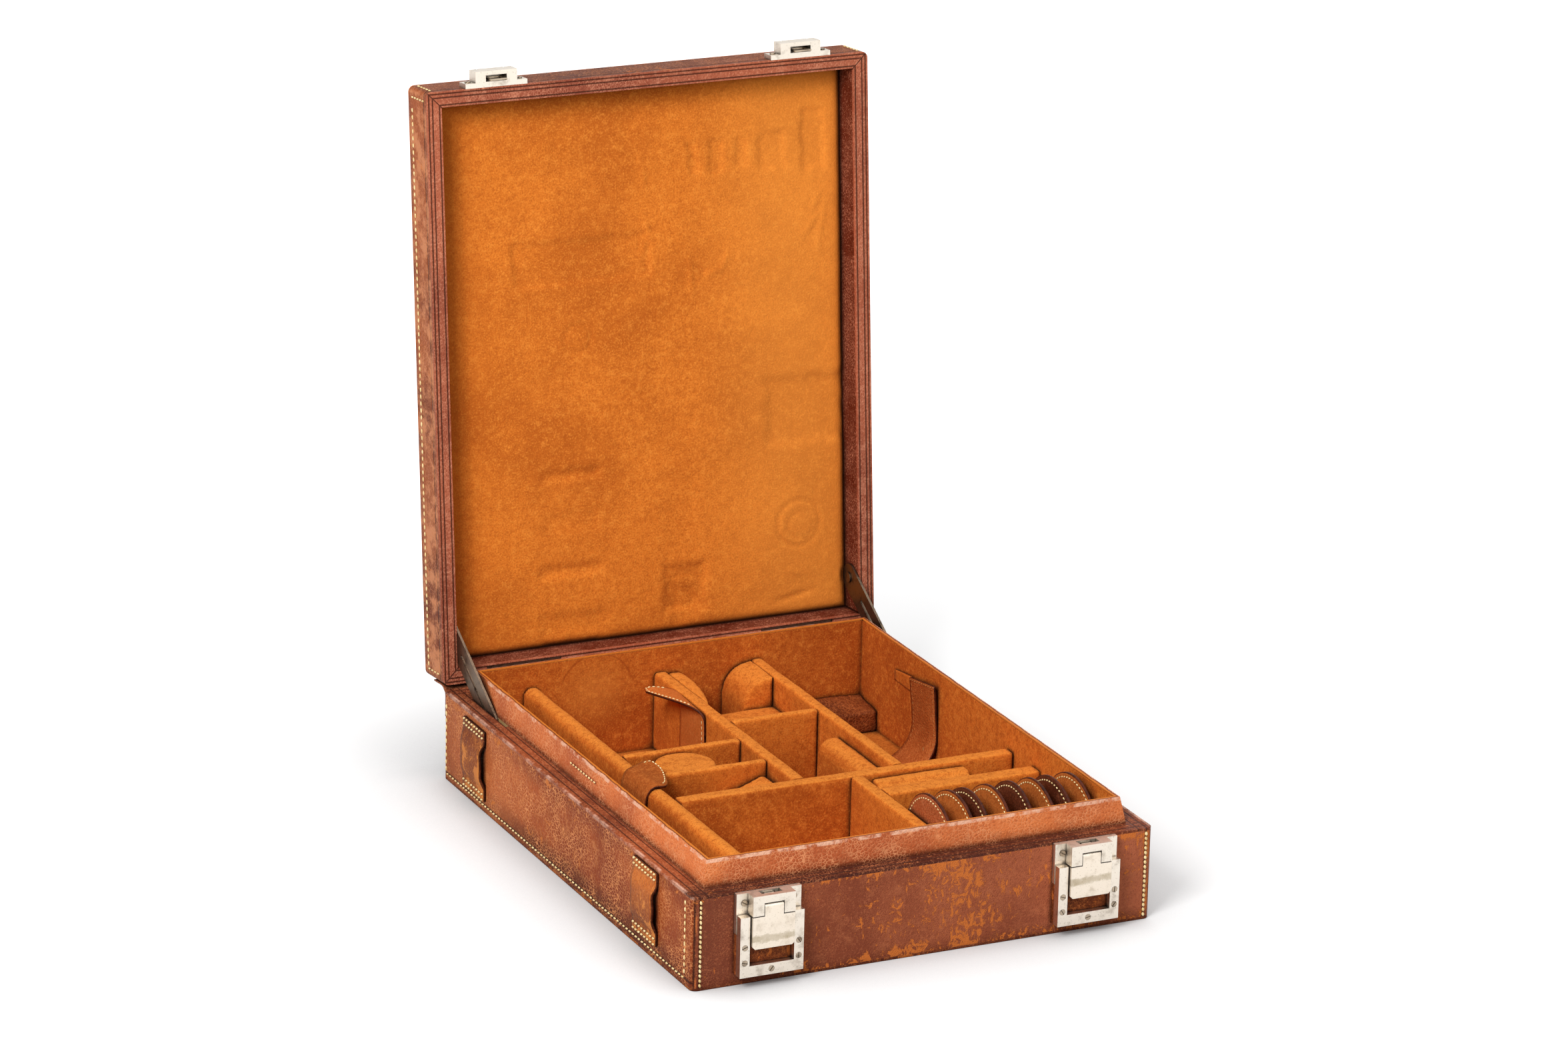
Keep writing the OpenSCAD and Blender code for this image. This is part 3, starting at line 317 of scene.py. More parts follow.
def leather(name, base, dark, light, scuff=None, scuff_at=0.66, crackle=0.5, grain=560.0,
            edges=(), edge_tone=None, lines=(), rough=0.42, lid=False, depth=0.0003, shade=(),
            uneven=0.3, suede_top=False, gloss=0.08, worn_edges=(), speck=0.5, bands=(),
            mitred=(), island=62.0, calm=None):
    """Worn grained leather. edges, lines, worn_edges and shade start with an axis, its value and a
    width in millimetres; bands and calm grow from a first place on an axis to a second."""
    n = Looks(name, lid)
    broad = n.noise(11.0, 2.0, 0.55, twist=0.4)
    blotch = n.noise(115.0, 4.0, 0.65)
    fine = n.noise(700.0, 2.0, 0.65)
    tone = n.mix(n.step(broad, 0.5 - uneven / 2, 0.5 + uneven / 2), dark, base)
    tone = n.tint(tone, light, n.step(blotch, 0.5, 0.72), 0.35)
    for axis, value, width, strength, colour in shade:
        tone = n.tint(tone, colour, n.near(axis, value, width, False), strength)
    for axis, first, second, strength, colour in bands:
        ragged = n.times(n.minus(blotch, 0.5), (second - first) * MM)
        band = n.step(n.plus(n.axis(axis), ragged), first * MM, second * MM)
        tone = n.tint(tone, colour, band, strength)

    pores = n.pores(grain, n.mapped(scale=(1, 0.62, 1.1), turn=(0.3, 0.2, 0.5)))
    creases = n.other(n.step(pores, 0.015, 0.11))
    where = n.step(n.noise(48.0, 4.0, 0.65), 0.36, 0.62)
    tone = n.tint(tone, light, n.times(creases, where), crackle)
    tone = n.tint(tone, light, n.step(fine, 0.54, 0.7), speck)
    tone = n.tint(tone, dark, n.step(fine, 0.48, 0.3), 0.55)
    height = n.plus(n.times(n.step(pores, 0.0, 0.3), 0.7), n.times(fine, 0.6))

    if scuff:
        scuffed = scuffs(n, scuff_at, island, worn_edges, calm)
        tone = n.mix(scuffed, tone, scuff)
        height = n.minus(height, n.times(scuffed, 0.6))
    if lines or mitred:
        groove = n.near_any(lines) if lines else mitre(n, mitred)
        tone = n.tint(tone, DEEP, groove, 0.85)
        height = n.minus(height, n.times(groove, 2.6))
    if edges:
        # Edges tinted with edge_tone: rubbed wear, and on the ledge a painted highlight as well.
        worn = n.times(n.near_any(edges), n.step(n.noise(60.0, 5.0, 0.7), 0.44, 0.6))
        tone = n.tint(tone, edge_tone, worn, 0.8)
    if suede_top:
        tone = suede_on_lip(n, tone, blotch)
    # Painted shade: deep brown in tight corners and along the seams.
    n.paint_corner_shade(tone, DEEP, 0.9, CORNER_SHADE_REACH)
    n.set("Roughness", n.plus(rough, n.times(blotch, 0.25)))
    n.set("Specular IOR Level", gloss)
    n.bump(height, 0.6, depth)
    return n.material


front_leather = leather(
    "front_leather", (158, 84, 54), (126, 62, 40), (186, 110, 72), scuff=ORANGE, scuff_at=0.625,
    speck=0.3, crackle=0.35, grain=700.0, edges=((X, 147.6, 0.8),), edge_tone=(188, 104, 54),
    uneven=0.4, lines=((X, 149.3, 1.5), (X, 145.2, 1.3)), island=130.0, calm=(X, -85, -112),
    bands=((X, -50, -125, 0.7, (92, 44, 32)), (X, -147.3, -148.3, 0.9, DEEP),
           (X, 30, 110, 0.45, (184, 102, 70)), (Z, 10, 1, 0.6, (92, 38, 22))),
    worn_edges=((Z, 58, 8), (Z, 0, 10), (X, 147, 3)))
side_leather = leather(
    "side_leather", (172, 84, 38), (128, 54, 24), (226, 148, 92), scuff=(206, 118, 54),
    scuff_at=0.7, crackle=0.9, speck=0.35, grain=480.0, edges=((Z, 57, 1.6),),
    edge_tone=(206, 138, 104), lines=((Y, 187.6, 1.8), (Z, 4.6, 1.5), (Z, 0.4, 1.0)),
    bands=((Z, 21, 7, 0.9, (80, 32, 16)), (Z, 42, 56, 0.7, (110, 46, 24)),
           (Y, -130, -184, 0.6, (120, 52, 28)), (Y, 40, 110, 0.5, (206, 116, 66)),
           (Y, 160, 190, 0.4, (120, 52, 28))),
    worn_edges=((Z, 54, 5),))
plain_leather = leather(
    "plain_leather", (154, 80, 48), MAROON, (192, 112, 70), scuff=ORANGE, scuff_at=0.69,
    crackle=0.4, edges=((X, 150, 1.4),), edge_tone=(190, 108, 58),
    shade=((Z, 0, 9, 0.6, (84, 36, 20)),), worn_edges=((Z, 58, 6), (Z, 0, 5)))
# The ledge's pale outer edge is rubbed wear with a painted highlight on it.
ledge_leather = leather(
    "ledge_leather", (150, 74, 40), (96, 42, 24), (200, 122, 80), scuff=ORANGE, scuff_at=0.7,
    edges=((X, 149.3, 1.5),), edge_tone=(232, 184, 160), gloss=0.15,
    lines=((X, 145.6, 0.9), (X, 140.4, 0.7), (Y, 183.6, 0.9), (Y, 178.4, 0.7)),
    shade=((Y, -188, 40, 0.98, (62, 22, 12)),), bands=((X, 90, 140, 0.7, (118, 52, 24)),))
lip_leather = leather(
    "lip_leather", (214, 118, 64), (172, 84, 46), (238, 162, 112), crackle=0.6, speck=0.3,
    grain=440.0, shade=((Z, 58, 3.5, 0.85, DEEP),), suede_top=True, gloss=0.12,
    bands=((Z, 66, 58, 0.5, (116, 52, 26)),))
# The dark band on the lid's front face is a dark joint with painted shade over it.
lid_side_leather = leather(
    "lid_side_leather", (160, 82, 44), (112, 52, 28), (214, 138, 92), scuff=ORANGE,
    scuff_at=0.68, edges=((X, 150, 1.2),), edge_tone=(214, 140, 96), lid=True,
    lines=((Z, 63.5, 1.1), (Z, 86.6, 0.9)), bands=((Y, -186.8, -187.8, 0.55, DEEP),),
    shade=((Z, 60, 5, 0.6, MAROON), (Z, 88, 5, 0.6, MAROON)))
lid_top_leather = leather(
    "lid_top_leather", (154, 80, 48), MAROON, (192, 112, 70), scuff=ORANGE, scuff_at=0.69,
    edges=((X, 150, 3), (Y, 188, 3)), edge_tone=ORANGE, lid=True)
rim_leather = leather(
    "rim_leather", (172, 94, 66), (138, 70, 50), (216, 144, 112), grain=700.0, scuff=ORANGE,
    scuff_at=0.76, worn_edges=((X, 150, 1.5), (Y, 188, 1.5)), mitred=(1.6, 4.0, 8.6), lid=True,
    bands=((Z, 59.4, 61.4, 0.97, (80, 22, 5)),))
brown_leather = leather(
    "brown_leather", (140, 68, 30), (96, 42, 18), (176, 98, 50), grain=420.0, gloss=0.1,
    depth=0.0006)
tab_leather = leather(
    "tab_leather", (192, 102, 44), (160, 80, 32), (214, 130, 70), grain=1000.0, depth=0.0002,
    crackle=0.25, gloss=0.1)
strap_leather = leather(
    "strap_leather", (184, 96, 44), (150, 72, 30), (208, 124, 66), grain=520.0, depth=0.0006,
    crackle=0.3, gloss=0.12)
keeper_leather = leather(
    "keeper_leather", (186, 100, 42), (112, 52, 24), (218, 136, 70), scuff=(214, 132, 64),
    scuff_at=0.58, crackle=0.2, gloss=0.1)
keeper_edge = leather("keeper_edge", (84, 40, 22), (48, 22, 12), (128, 74, 48), crackle=0.2)
gusset_leather = leather(
    "gusset_leather", (176, 100, 60), (124, 62, 36), (218, 152, 110), crackle=0.6)
dark_leather = leather(
    "dark_leather", (84, 36, 20), (50, 20, 10), (132, 72, 46), grain=900.0, rough=0.35,
    gloss=0.12)
grain_leather = leather(
    "grain_leather", (160, 80, 42), (116, 52, 26), (206, 126, 82), grain=620.0, rough=0.36,
    crackle=0.7, gloss=0.15)
packing_leather = leather(
    "packing_leather", (138, 68, 34), (66, 24, 10), (186, 106, 54), scuff=(196, 106, 46),
    scuff_at=0.6)


# Suede

# The colour of the suede's painted shade in its corners
SUEDE_CORNER_SHADE = (62, 22, 6)
SHEEN = (255, 176, 96)
# The arc that a round thing left on the back wall: x, z and radius in millimetres
BACK_ARC = (-54, 50, 25)


def arc_mark(n, tone, dark, light, x, z, radius):
    """A dark arc on the back wall's lining, paler inside."""
    dx = n.minus(n.axis(X), x * MM)
    dz = n.minus(n.axis(Z), z * MM)
    far = n.math("SQRT", n.plus(n.times(dx, dx), n.times(dz, dz)))
    ring = n.other(n.step(n.size(n.minus(far, radius * MM)), 0.0, 1.2 * MM))
    on_wall = n.grown(Y, 168, 169)
    upper = n.times(on_wall, n.step(dz, 4 * MM, 12 * MM))
    tone = n.tint(tone, dark, n.times(ring, upper), 0.6)
    return n.tint(tone, light, n.times(n.step(far, radius * 1.3 * MM, 0.0), on_wall), 0.35)


def panel_light_and_shade(n, tone, dark, light):
    """Painted light and shade on the lid's panel: painted shade along its border and at the left,
    and painted light at the right.
    """
    border = n.near_any([(X, 141, 15), (Y, 179, 11)])
    tone = n.tint(tone, dark, border, 0.55)
    tone = n.tint(tone, dark, n.grown(X, -95, -140), 0.5)
    return n.tint(tone, light, n.grown(X, 20, 110), 0.4)


def suede(name, base, dark, light, painted_top_light=None, arc=None, panel=False, mottle=0.4, painted_depth_shade=()):
    """Brushed suede: an even tone, a pebbled nap of short fibres, painted shade in the corners.
    tops is painted light, the tone of faces that look up; deep is painted shade, growing darker
    from a first place on an axis to a second."""
    n = Looks(name, panel)
    drift = n.noise(12.0, 3.0, 0.5, twist=0.4)
    clumps = n.noise(240.0, 4.0, 0.65)
    fibres = n.noise(900.0, 2.0, 0.7)
    tone = n.tint(base, dark, n.step(drift, 0.6, 0.34), 0.55)
    # Painted light: faces that look up get a lighter tone.
    if painted_top_light:
        normal = n.add("ShaderNodeNewGeometry").outputs["Normal"]
        facing = n.add("ShaderNodeSeparateXYZ", {0: normal})
        tone = n.tint(tone, painted_top_light, n.step(facing.outputs[Z], 0.45, 0.95), 0.75)
    # Painted shade, growing along an axis.
    for axis, first, second, strength in painted_depth_shade:
        tone = n.tint(tone, dark, n.grown(axis, first, second), strength)
    tone = n.tint(tone, dark, n.step(clumps, 0.5, 0.36), mottle)
    tone = n.tint(tone, light, n.step(clumps, 0.52, 0.68), mottle)
    tone = n.tint(tone, dark, n.step(fibres, 0.5, 0.34), 0.45)
    tone = n.tint(tone, light, n.step(fibres, 0.52, 0.68), 0.4)
    # Painted light and shade across the lid's panel.
    if panel:
        tone = panel_light_and_shade(n, tone, dark, light)
    if arc:
        tone = arc_mark(n, tone, dark, light, *arc)
    # Painted shade in tight corners and along the seams.
    n.paint_corner_shade(tone, SUEDE_CORNER_SHADE, 0.9, CORNER_SHADE_REACH)
    for socket, value in (("Roughness", 0.95), ("Specular IOR Level", 0.08),
                          ("Sheen Weight", 0.08), ("Sheen Roughness", 0.5),
                          ("Sheen Tint", (*srgb(*SHEEN), 1))):
        n.set(socket, value)
    n.bump(n.plus(n.times(clumps, 0.8), fibres), 0.6, 0.0005)
    return n.material


# The inner suede: painted light on faces that look up, and painted shade that grows lower down.
inner_suede = suede(
    "inner_suede", (208, 112, 38), (146, 60, 14), (230, 140, 58), painted_top_light=(222, 136, 54),
    painted_depth_shade=((Z, 58, 18, 0.4),))
# The lining: painted shade that grows lower down and towards the back.
lining_suede = suede(
    "lining_suede", (208, 110, 38), (146, 58, 14), (230, 140, 58), arc=BACK_ARC,
    painted_depth_shade=((Z, 66, 20, 0.3), (Y, -60, 150, 0.3)))
panel_suede = suede(
    "panel_suede", (218, 120, 40), (170, 80, 22), (250, 158, 64), panel=True, mottle=0.3)
pouch_suede = suede("pouch_suede", (178, 94, 38), (126, 58, 20), (206, 124, 60))


# Metal, thread and wood

# The colour of the metal's painted shade in its corners
METAL_CORNER_SHADE = (40, 26, 16)


def metal(name, base, stain, shine=0.28, speck=0.5, band=None):
    """Worn plate: cloudy tone, tarnish in patches, fine scratches. band is a height and a width
    in millimetres and a colour."""
    n = Looks(name)
    cloud = n.noise(110.0, 5.0, 0.6)
    pits = n.noise(900.0, 3.0, 0.6)
    tone = n.tint(base, stain, n.step(cloud, 0.5, 0.75), speck)
    tone = n.tint(tone, stain, n.step(pits, 0.58, 0.72), 0.5)
    if band:
        height, width, colour = band
        level = n.minus(n.axis(Z), n.times(n.noise(260.0, 4.0, 0.7), 6 * MM))
        tilted = n.minus(level, n.times(n.axis(X), 0.02))
        away = n.size(n.minus(tilted, (height - 3) * MM))
        stripe = n.other(n.step(away, width * 0.4 * MM, width * MM))
        tone = n.tint(tone, colour, n.times(stripe, cloud), 0.9)
    # Painted shade in tight corners and along the seams.
    n.paint_corner_shade(tone, METAL_CORNER_SHADE, 0.92, 3.2 * MM)
    n.set("Metallic", 1.0)
    n.set("Roughness", n.plus(shine, n.times(cloud, 0.22)))
    scratches = n.noise(300.0, 3.0, 0.6, n.mapped(scale=(1, 1, 9)))
    n.bump(n.plus(scratches, pits), 0.2, 0.0002)
    return n.material


nickel = metal("nickel", (222, 212, 198), (120, 100, 76))
flap_nickel = metal("flap_nickel", (228, 216, 200), (156, 136, 108), shine=0.34, speck=0.4,
                    band=(33.5, 3.0, (140, 122, 82)))
frame_nickel = metal("frame_nickel", (226, 216, 202), (112, 92, 70), shine=0.22)
steel = metal("steel", (176, 160, 140), (60, 44, 30), shine=0.26, speck=0.85)
bronze = metal("bronze", (114, 98, 82), (28, 20, 14), shine=0.32, speck=0.95)


def simple(name, base, second, rough, scale):
    """Two tones in small patches."""
    n = Looks(name)
    n.set("Base Color", n.mix(n.step(n.noise(scale, 4.0, 0.6), 0.35, 0.7), base, second))
    n.set("Roughness", rough)
    n.set("Specular IOR Level", 0.12)
    n.bump(n.noise(scale * 6, 3.0, 0.6), 0.25, 0.0002)
    return n.material


thread = simple("thread", (250, 226, 172), (224, 190, 128), 0.8, 400.0)
dull_thread = simple("dull_thread", (196, 136, 80), (150, 92, 48), 0.85, 400.0)
edge_paint = simple("edge_paint", (84, 36, 18), (46, 18, 9), 0.5, 200.0)
wood = simple("wood", (180, 146, 98), (150, 116, 74), 0.7, 40.0)


# Mesh helpers

def from_bmesh(name, bm):
    mesh = bpy.data.meshes.new(name)
    bmesh.ops.recalc_face_normals(bm, faces=bm.faces)
    bm.to_mesh(mesh)
    bm.free()
    return new_object(name, mesh)


def with_modifiers(obj):
    """Applies an object's modifiers to its mesh."""
    graph = bpy.context.evaluated_depsgraph_get()
    graph.update()
    mesh = bpy.data.meshes.new_from_object(obj.evaluated_get(graph))
    obj.modifiers.clear()
    old = obj.data
    obj.data = mesh
    bpy.data.meshes.remove(old)
    return obj


def dress(obj, material, body, slot, *stands_for):
    """Gives a piece its material and its body, and hides the solids that it stands for. slot is not
    used.
    """
    obj.data.materials.clear()
    obj.data.materials.append(material)
    obj.data.polygons.foreach_set("use_smooth", [True] * len(obj.data.polygons))
    if body:
        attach(obj, body)
    if stands_for:
        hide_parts(*stands_for)
    return obj


# The second, finer wobble of soft pieces, as parts of the first one's wave and height
FINE_WAVE = 0.22
FINE_WOBBLE = 0.35


def softened(node, voxel, rounds, wobble, wave=30.0):
    """A soft copy of a solid: remeshed, its edges rounded by smoothing rounds, its faces uneven by
    a wobble over a wave; lengths in millimetres."""
    bm = bmesh.new()
    bm.from_mesh(nodes[node].data)
    bmesh.ops.remove_doubles(bm, verts=bm.verts, dist=1e-6)
    obj = from_bmesh("soft_" + node, bm)
    remesh = obj.modifiers.new("remesh", "REMESH")
    remesh.mode = "VOXEL"
    remesh.voxel_size = voxel * MM
    relax = obj.modifiers.new("relax", "SMOOTH")
    relax.factor = 0.5
    relax.iterations = rounds
    with_modifiers(obj)
    normals = [v.normal.copy() for v in obj.data.vertices]
    for v, normal in zip(obj.data.vertices, normals):
        at = v.co / (wave * MM)
        shift = noise.noise(at) * wobble + noise.noise(at / FINE_WAVE) * wobble * FINE_WOBBLE
        v.co += normal * (shift * MM)
    return obj


class Stitches:
    """Rows of separate thread stitches, gathered into one piece."""
    RINGS = 5
    SIDES = 6

    def __init__(self):
        self.bm = bmesh.new()
        self.random = random.Random(7)

    def one(self, at, along, up, length, width, height):
        """A spindle, pointed at its ends."""
        side = up.cross(along).normalized()
        rows = []
        for i in range(self.RINGS):
            t = -1 + 2 * i / (self.RINGS - 1)
            r = math.sqrt(max(0.0, 1 - t * t)) ** 0.7
            row = []
            for j in range(self.SIDES):
                a = 2 * math.pi * j / self.SIDES
                offset = along * (t * length / 2) + side * (math.cos(a) * r * width / 2)
                offset += up * (math.sin(a) * r * height / 2)
                row.append(self.bm.verts.new((at + offset) * MM))
            rows.append(row)
        for a, b in zip(rows, rows[1:]):
            for j in range(self.SIDES):
                k = (j + 1) % self.SIDES
                self.bm.faces.new((a[j], a[k], b[k], b[j]))

    def row(self, points, pitch, up, width, height, fill=0.74, slant=0.1):
        """Stitches along a line of points in millimetres, with the surface's outward direction."""
        points = [Vector(p) for p in points]
        lengths = [(b - a).length for a, b in zip(points, points[1:])]
        total = sum(lengths)
        count = max(1, round(total / pitch))
        step = total / count
        for i in range(count):
            want = (i + 0.5) * step
            k = 0
            while k < len(lengths) - 1 and want > lengths[k]:
                want -= lengths[k]
                k += 1
            a, b = points[k], points[k + 1]
            along = (b - a).normalized()
            out = Vector(up)
            side = out.cross(along).normalized()
            along = (along + side * (slant + self.random.uniform(-0.05, 0.05))).normalized()
            at = a.lerp(b, min(1.0, want / lengths[k])) + out * (height * 0.18)
            self.one(at, along, out, step * fill * self.random.uniform(0.92, 1.05), width, height)

    def build(self, name, body, material, slot="tan_leather"):
        dress(from_bmesh(name, self.bm), material, body, slot)


# Materials of the solids that stay as they are

for node, material in {
    "base_carcass": wood, "inner_frame": wood, "lid_carcass": wood,
    "base_front_leather": front_leather, "base_left_leather": side_leather,
    "base_right_leather": plain_leather, "base_back_leather": plain_leather,
    "base_bottom_leather": plain_leather, "ledge_leather": ledge_leather,
    "lip_leather": lip_leather, "base_lining": lining_suede, "base_floor_lining": inner_suede,
    "left_latch_housing": nickel, "right_latch_housing": nickel,
    "latch_frames": frame_nickel, "latch_packings": packing_leather, "latch_pins": steel,
    "latch_springs": steel, "base_screws": steel, "hinge_base_leaves": bronze,
    "hinge_pins": bronze, "left_latch_flap": flap_nickel, "right_latch_flap": flap_nickel,
    "lid_top_leather": lid_top_leather, "lid_front_leather": lid_side_leather,
    "lid_back_leather": lid_side_leather, "lid_left_leather": lid_side_leather,
    "lid_right_leather": lid_side_leather, "lid_rim_leather": rim_leather,
    "left_catch": nickel, "right_catch": nickel, "strikers": steel, "lid_screws": steel,
    "hinge_lid_leaves": bronze, "stay_rivets": bronze, "left_stay": bronze, "right_stay": bronze,
}.items():
    nodes[node].data.materials.clear()
    nodes[node].data.materials.append(material)


# Dividers, pads and the corner block, softened: voxel, smoothing rounds and wobble

for node, *how in (
    ("rolled_divider", 1.5, 3, 0.35), ("middle_divider", 1.4, 3, 0.3),
    ("right_divider", 1.4, 3, 0.3), ("front_cross_divider", 1.5, 3, 0.35),
    ("back_cross_divider", 1.2, 3, 0.25), ("short_cross_divider", 1.2, 3, 0.25),
    ("centre_cross_divider", 1.2, 3, 0.25), ("filter_bay_divider", 1.4, 3, 0.3),
    ("filter_rail", 0.9, 2, 0.25),
):
    dress(softened(node, *how), inner_suede, "base", "suede", node)

for node, *how in (
    ("lens_rest_pad", 1.3, 6, 0.5), ("small_well_pad", 1.5, 8, 0.6),
    ("half_round_pad", 1.5, 8, 0.5), ("round_fronted_pad", 1.5, 8, 0.6),
    ("back_well_pad", 1.5, 8, 0.6), ("centre_well_pad", 1.5, 8, 0.5), ("stepped_pad", 1.4, 5, 0.4),
):
    piece = dress(softened(node, *how), inner_suede, "base", "suede", node)

dress(softened("corner_block", 1.3, 8, 1.3, 16.0), brown_leather, "base", "red_leather",
      "corner_block")


# Filter pouches: two stitched leaves each, with a burnished edge

POUCH_XS = (31.5, 46, 57, 71.5, 86, 101.5, 112.5, 125.5)
POUCH_R = 34.0
POUCH_T = 3.6
POUCH_Y = -131.0
POUCH_FACES = (grain_leather, pouch_suede, dark_leather, pouch_suede, dark_leather, pouch_suede,
               dark_leather, pouch_suede)
POUCH_Z = FLOOR + POUCH_R
POUCH_TURNS = 72
# Radius and thickness at each ring of a leaf, as parts of the pouch's, with the stitches' groove
POUCH_PROFILE = ((0.0, 1.0), (0.35, 1.0), (0.62, 0.98), (0.8, 0.9), (0.88, 0.72), (0.915, 0.62),
                 (0.94, 0.66), (0.98, 0.56), (1.0, 0.34))
SEAM_R = 0.915
SEAM_T = 0.62
BURNISHED_FROM = 0.975


def pouch_point(index, x, k, r, t):
    """A point of a pouch's ring, with the pouch's own slight warp and lean."""
    a = 2 * math.pi * k / POUCH_TURNS
    y, z = math.cos(a) * r * POUCH_R, math.sin(a) * r * POUCH_R
    sway = math.sin(3 * a + index) * 0.25 * r + 0.02 * math.sin(index * 2.1) * z
    return (x + t * POUCH_T / 2 + sway, POUCH_Y + y, POUCH_Z + z)


def pouch(index, x, face):
    """A round pouch that stands on the floor: two slightly domed leaves and their stitches."""
    bm = bmesh.new()
    profile = [*POUCH_PROFILE, *((r, -t) for r, t in reversed(POUCH_PROFILE))]
    rings = []
    for r, t in profile:
        if r == 0.0:
            rings.append([bm.verts.new(mm(x + t * POUCH_T / 2, POUCH_Y, POUCH_Z))])
        else:
            rings.append([bm.verts.new(mm(*pouch_point(index, x, k, r, t)))
                          for k in range(POUCH_TURNS)])
    for a, b in zip(rings, rings[1:]):
        for k in range(POUCH_TURNS):
            j = (k + 1) % POUCH_TURNS
            if len(a) == 1:
                bm.faces.new((a[0], b[j], b[k]))
            elif len(b) == 1:
                bm.faces.new((a[k], a[j], b[0]))
            else:
                bm.faces.new((a[k], a[j], b[j], b[k]))
    obj = from_bmesh("filter_pouch_%d" % (index + 1), bm)
    dress(obj, face, "base", "suede", *(["filter_pouches"] if index == 0 else []))
    obj.data.materials.append(edge_paint)
    for p in obj.data.polygons:
        centre = p.center / MM
        reach = math.hypot(centre.y - POUCH_Y, centre.z - POUCH_Z)
        p.material_index = 1 if reach > POUCH_R * BURNISHED_FROM else 0
    rows = Stitches()
    for side in (-1, 1):
        ring = [pouch_point(index, x, k, SEAM_R, side * SEAM_T) for k in range(POUCH_TURNS + 1)]
        rows.row(ring, 3.2, (side, 0, 0), width=1.05, height=0.8, fill=0.66, slant=0.14)
    rows.build("pouch_stitches_%d" % (index + 1), "base", thread, "suede")


for i, (x, face) in enumerate(zip(POUCH_XS, POUCH_FACES)):
    pouch(i, x, face)


# The lid's padded panel, with the marks that the contents pressed into it

PANEL_DENTS = (
    # x0, x1, y0, y1, depth, softness of the edge
    (-88, 5, -83, -55, 0.55, 1.6), (84, 140, 21, 65, 0.6, 3.0), (11, 40, 135, 165, 0.9, 2.5),
    (16, 34, 150, 172, 0.5, 2.0), (-72, -32, 64, 70, 0.7, 2.5), (-70, -34, 92, 104, 0.35, 3.0),
    (-74, -32, 126, 133, 0.75, 2.5), (-74, -30, 158, 171, 0.6, 3.0),
    (-72, -36, 176, 186, 0.5, 3.0), (33, 40, -137, -116, 0.5, 1.2),
    (48, 58, -137, -116, 0.55, 1.2), (66, 74, -137, -118, 0.45, 1.2),
    (82, 100, -139, -114, 0.5, 1.4), (112, 128, -152, -112, 0.55, 1.4),
    (-124, -118, -160, 150, 0.45, 1.5), (-60, 0, -160, -128, 0.3, 5.0), (14, 34, 78, 130, 0.3, 5.0),
)
PANEL_RINGS = (
    # x, y, radius, width, depth
    (-45.5, -20, 9.0, 1.3, 0.45), (106, 117.5, 15.0, 1.8, 0.5), (108, 119, 9.0, 1.3, 0.4),
    (26, 152, 11.0, 1.5, 0.35),
)
PANEL_CREASES = (
    # x0, y0, x1, y1, width, height
    (37, -58, 44, -52, 2.2, -0.9), (44, -52, 54, -54, 2.0, 0.8), (54, -54, 60, -64, 2.0, 0.7),
    (4, -84, 0, -66, 1.6, 0.8), (0, -66, 6, -56, 1.6, -0.7), (2, -92, 6, -80, 1.4, 0.6),
    (112, -70, 122, -82, 1.6, 0.7), (118, -84, 124, -98, 1.4, 0.6), (122, -60, 128, -90, 1.4, 0.5),
    (32, -64, 34, -40, 2.5, 0.5), (0, -132, 3, -108, 1.4, 0.5), (90, 168, 116, 163, 2.4, -0.8),
    (98, 148, 108, 152, 1.6, 0.5), (60, -48, 74, -42, 1.6, 0.5), (24, 178, 34, 186, 1.6, 0.5),
)
# The depths, edges, rings and creases in the tables are multiplied by these
DENT_SCALE = 2.3
DENT_EDGE_SCALE = 1.35
RING_SCALE = 2.2
CREASE_SCALE = 1.8

# The panel on the closed lid, in millimetres: its halves, and the heights of its face and back
PANEL_HALF_X = 139.9
PANEL_HALF_Y = 177.9
PANEL_Z = 77.3
PANEL_CROWN = 1.2
PANEL_BORDER = 6.0
BORDER_DEPTH = 2.6
PANEL_DEEPEST = 81.8
PANEL_BACK = 82.2
PANEL_COLUMNS = 150
PANEL_ROWS = 196
# Distances in from the panel's edge of its first places, and of the even ones
PANEL_ENDS = (0.0, 0.7, 1.5)
PANEL_INNER = 2.4

# The panel leaves room for each stay's rivet head: its inner end, its middle and its radius
RIVET_X = 137.4
RIVET_Y = 156.2
RIVET_Z = 70.5
RIVET_ROOM = 9.4


def smooth(t):
    t = min(1.0, max(0.0, t))
    return t * t * (3 - 2 * t)


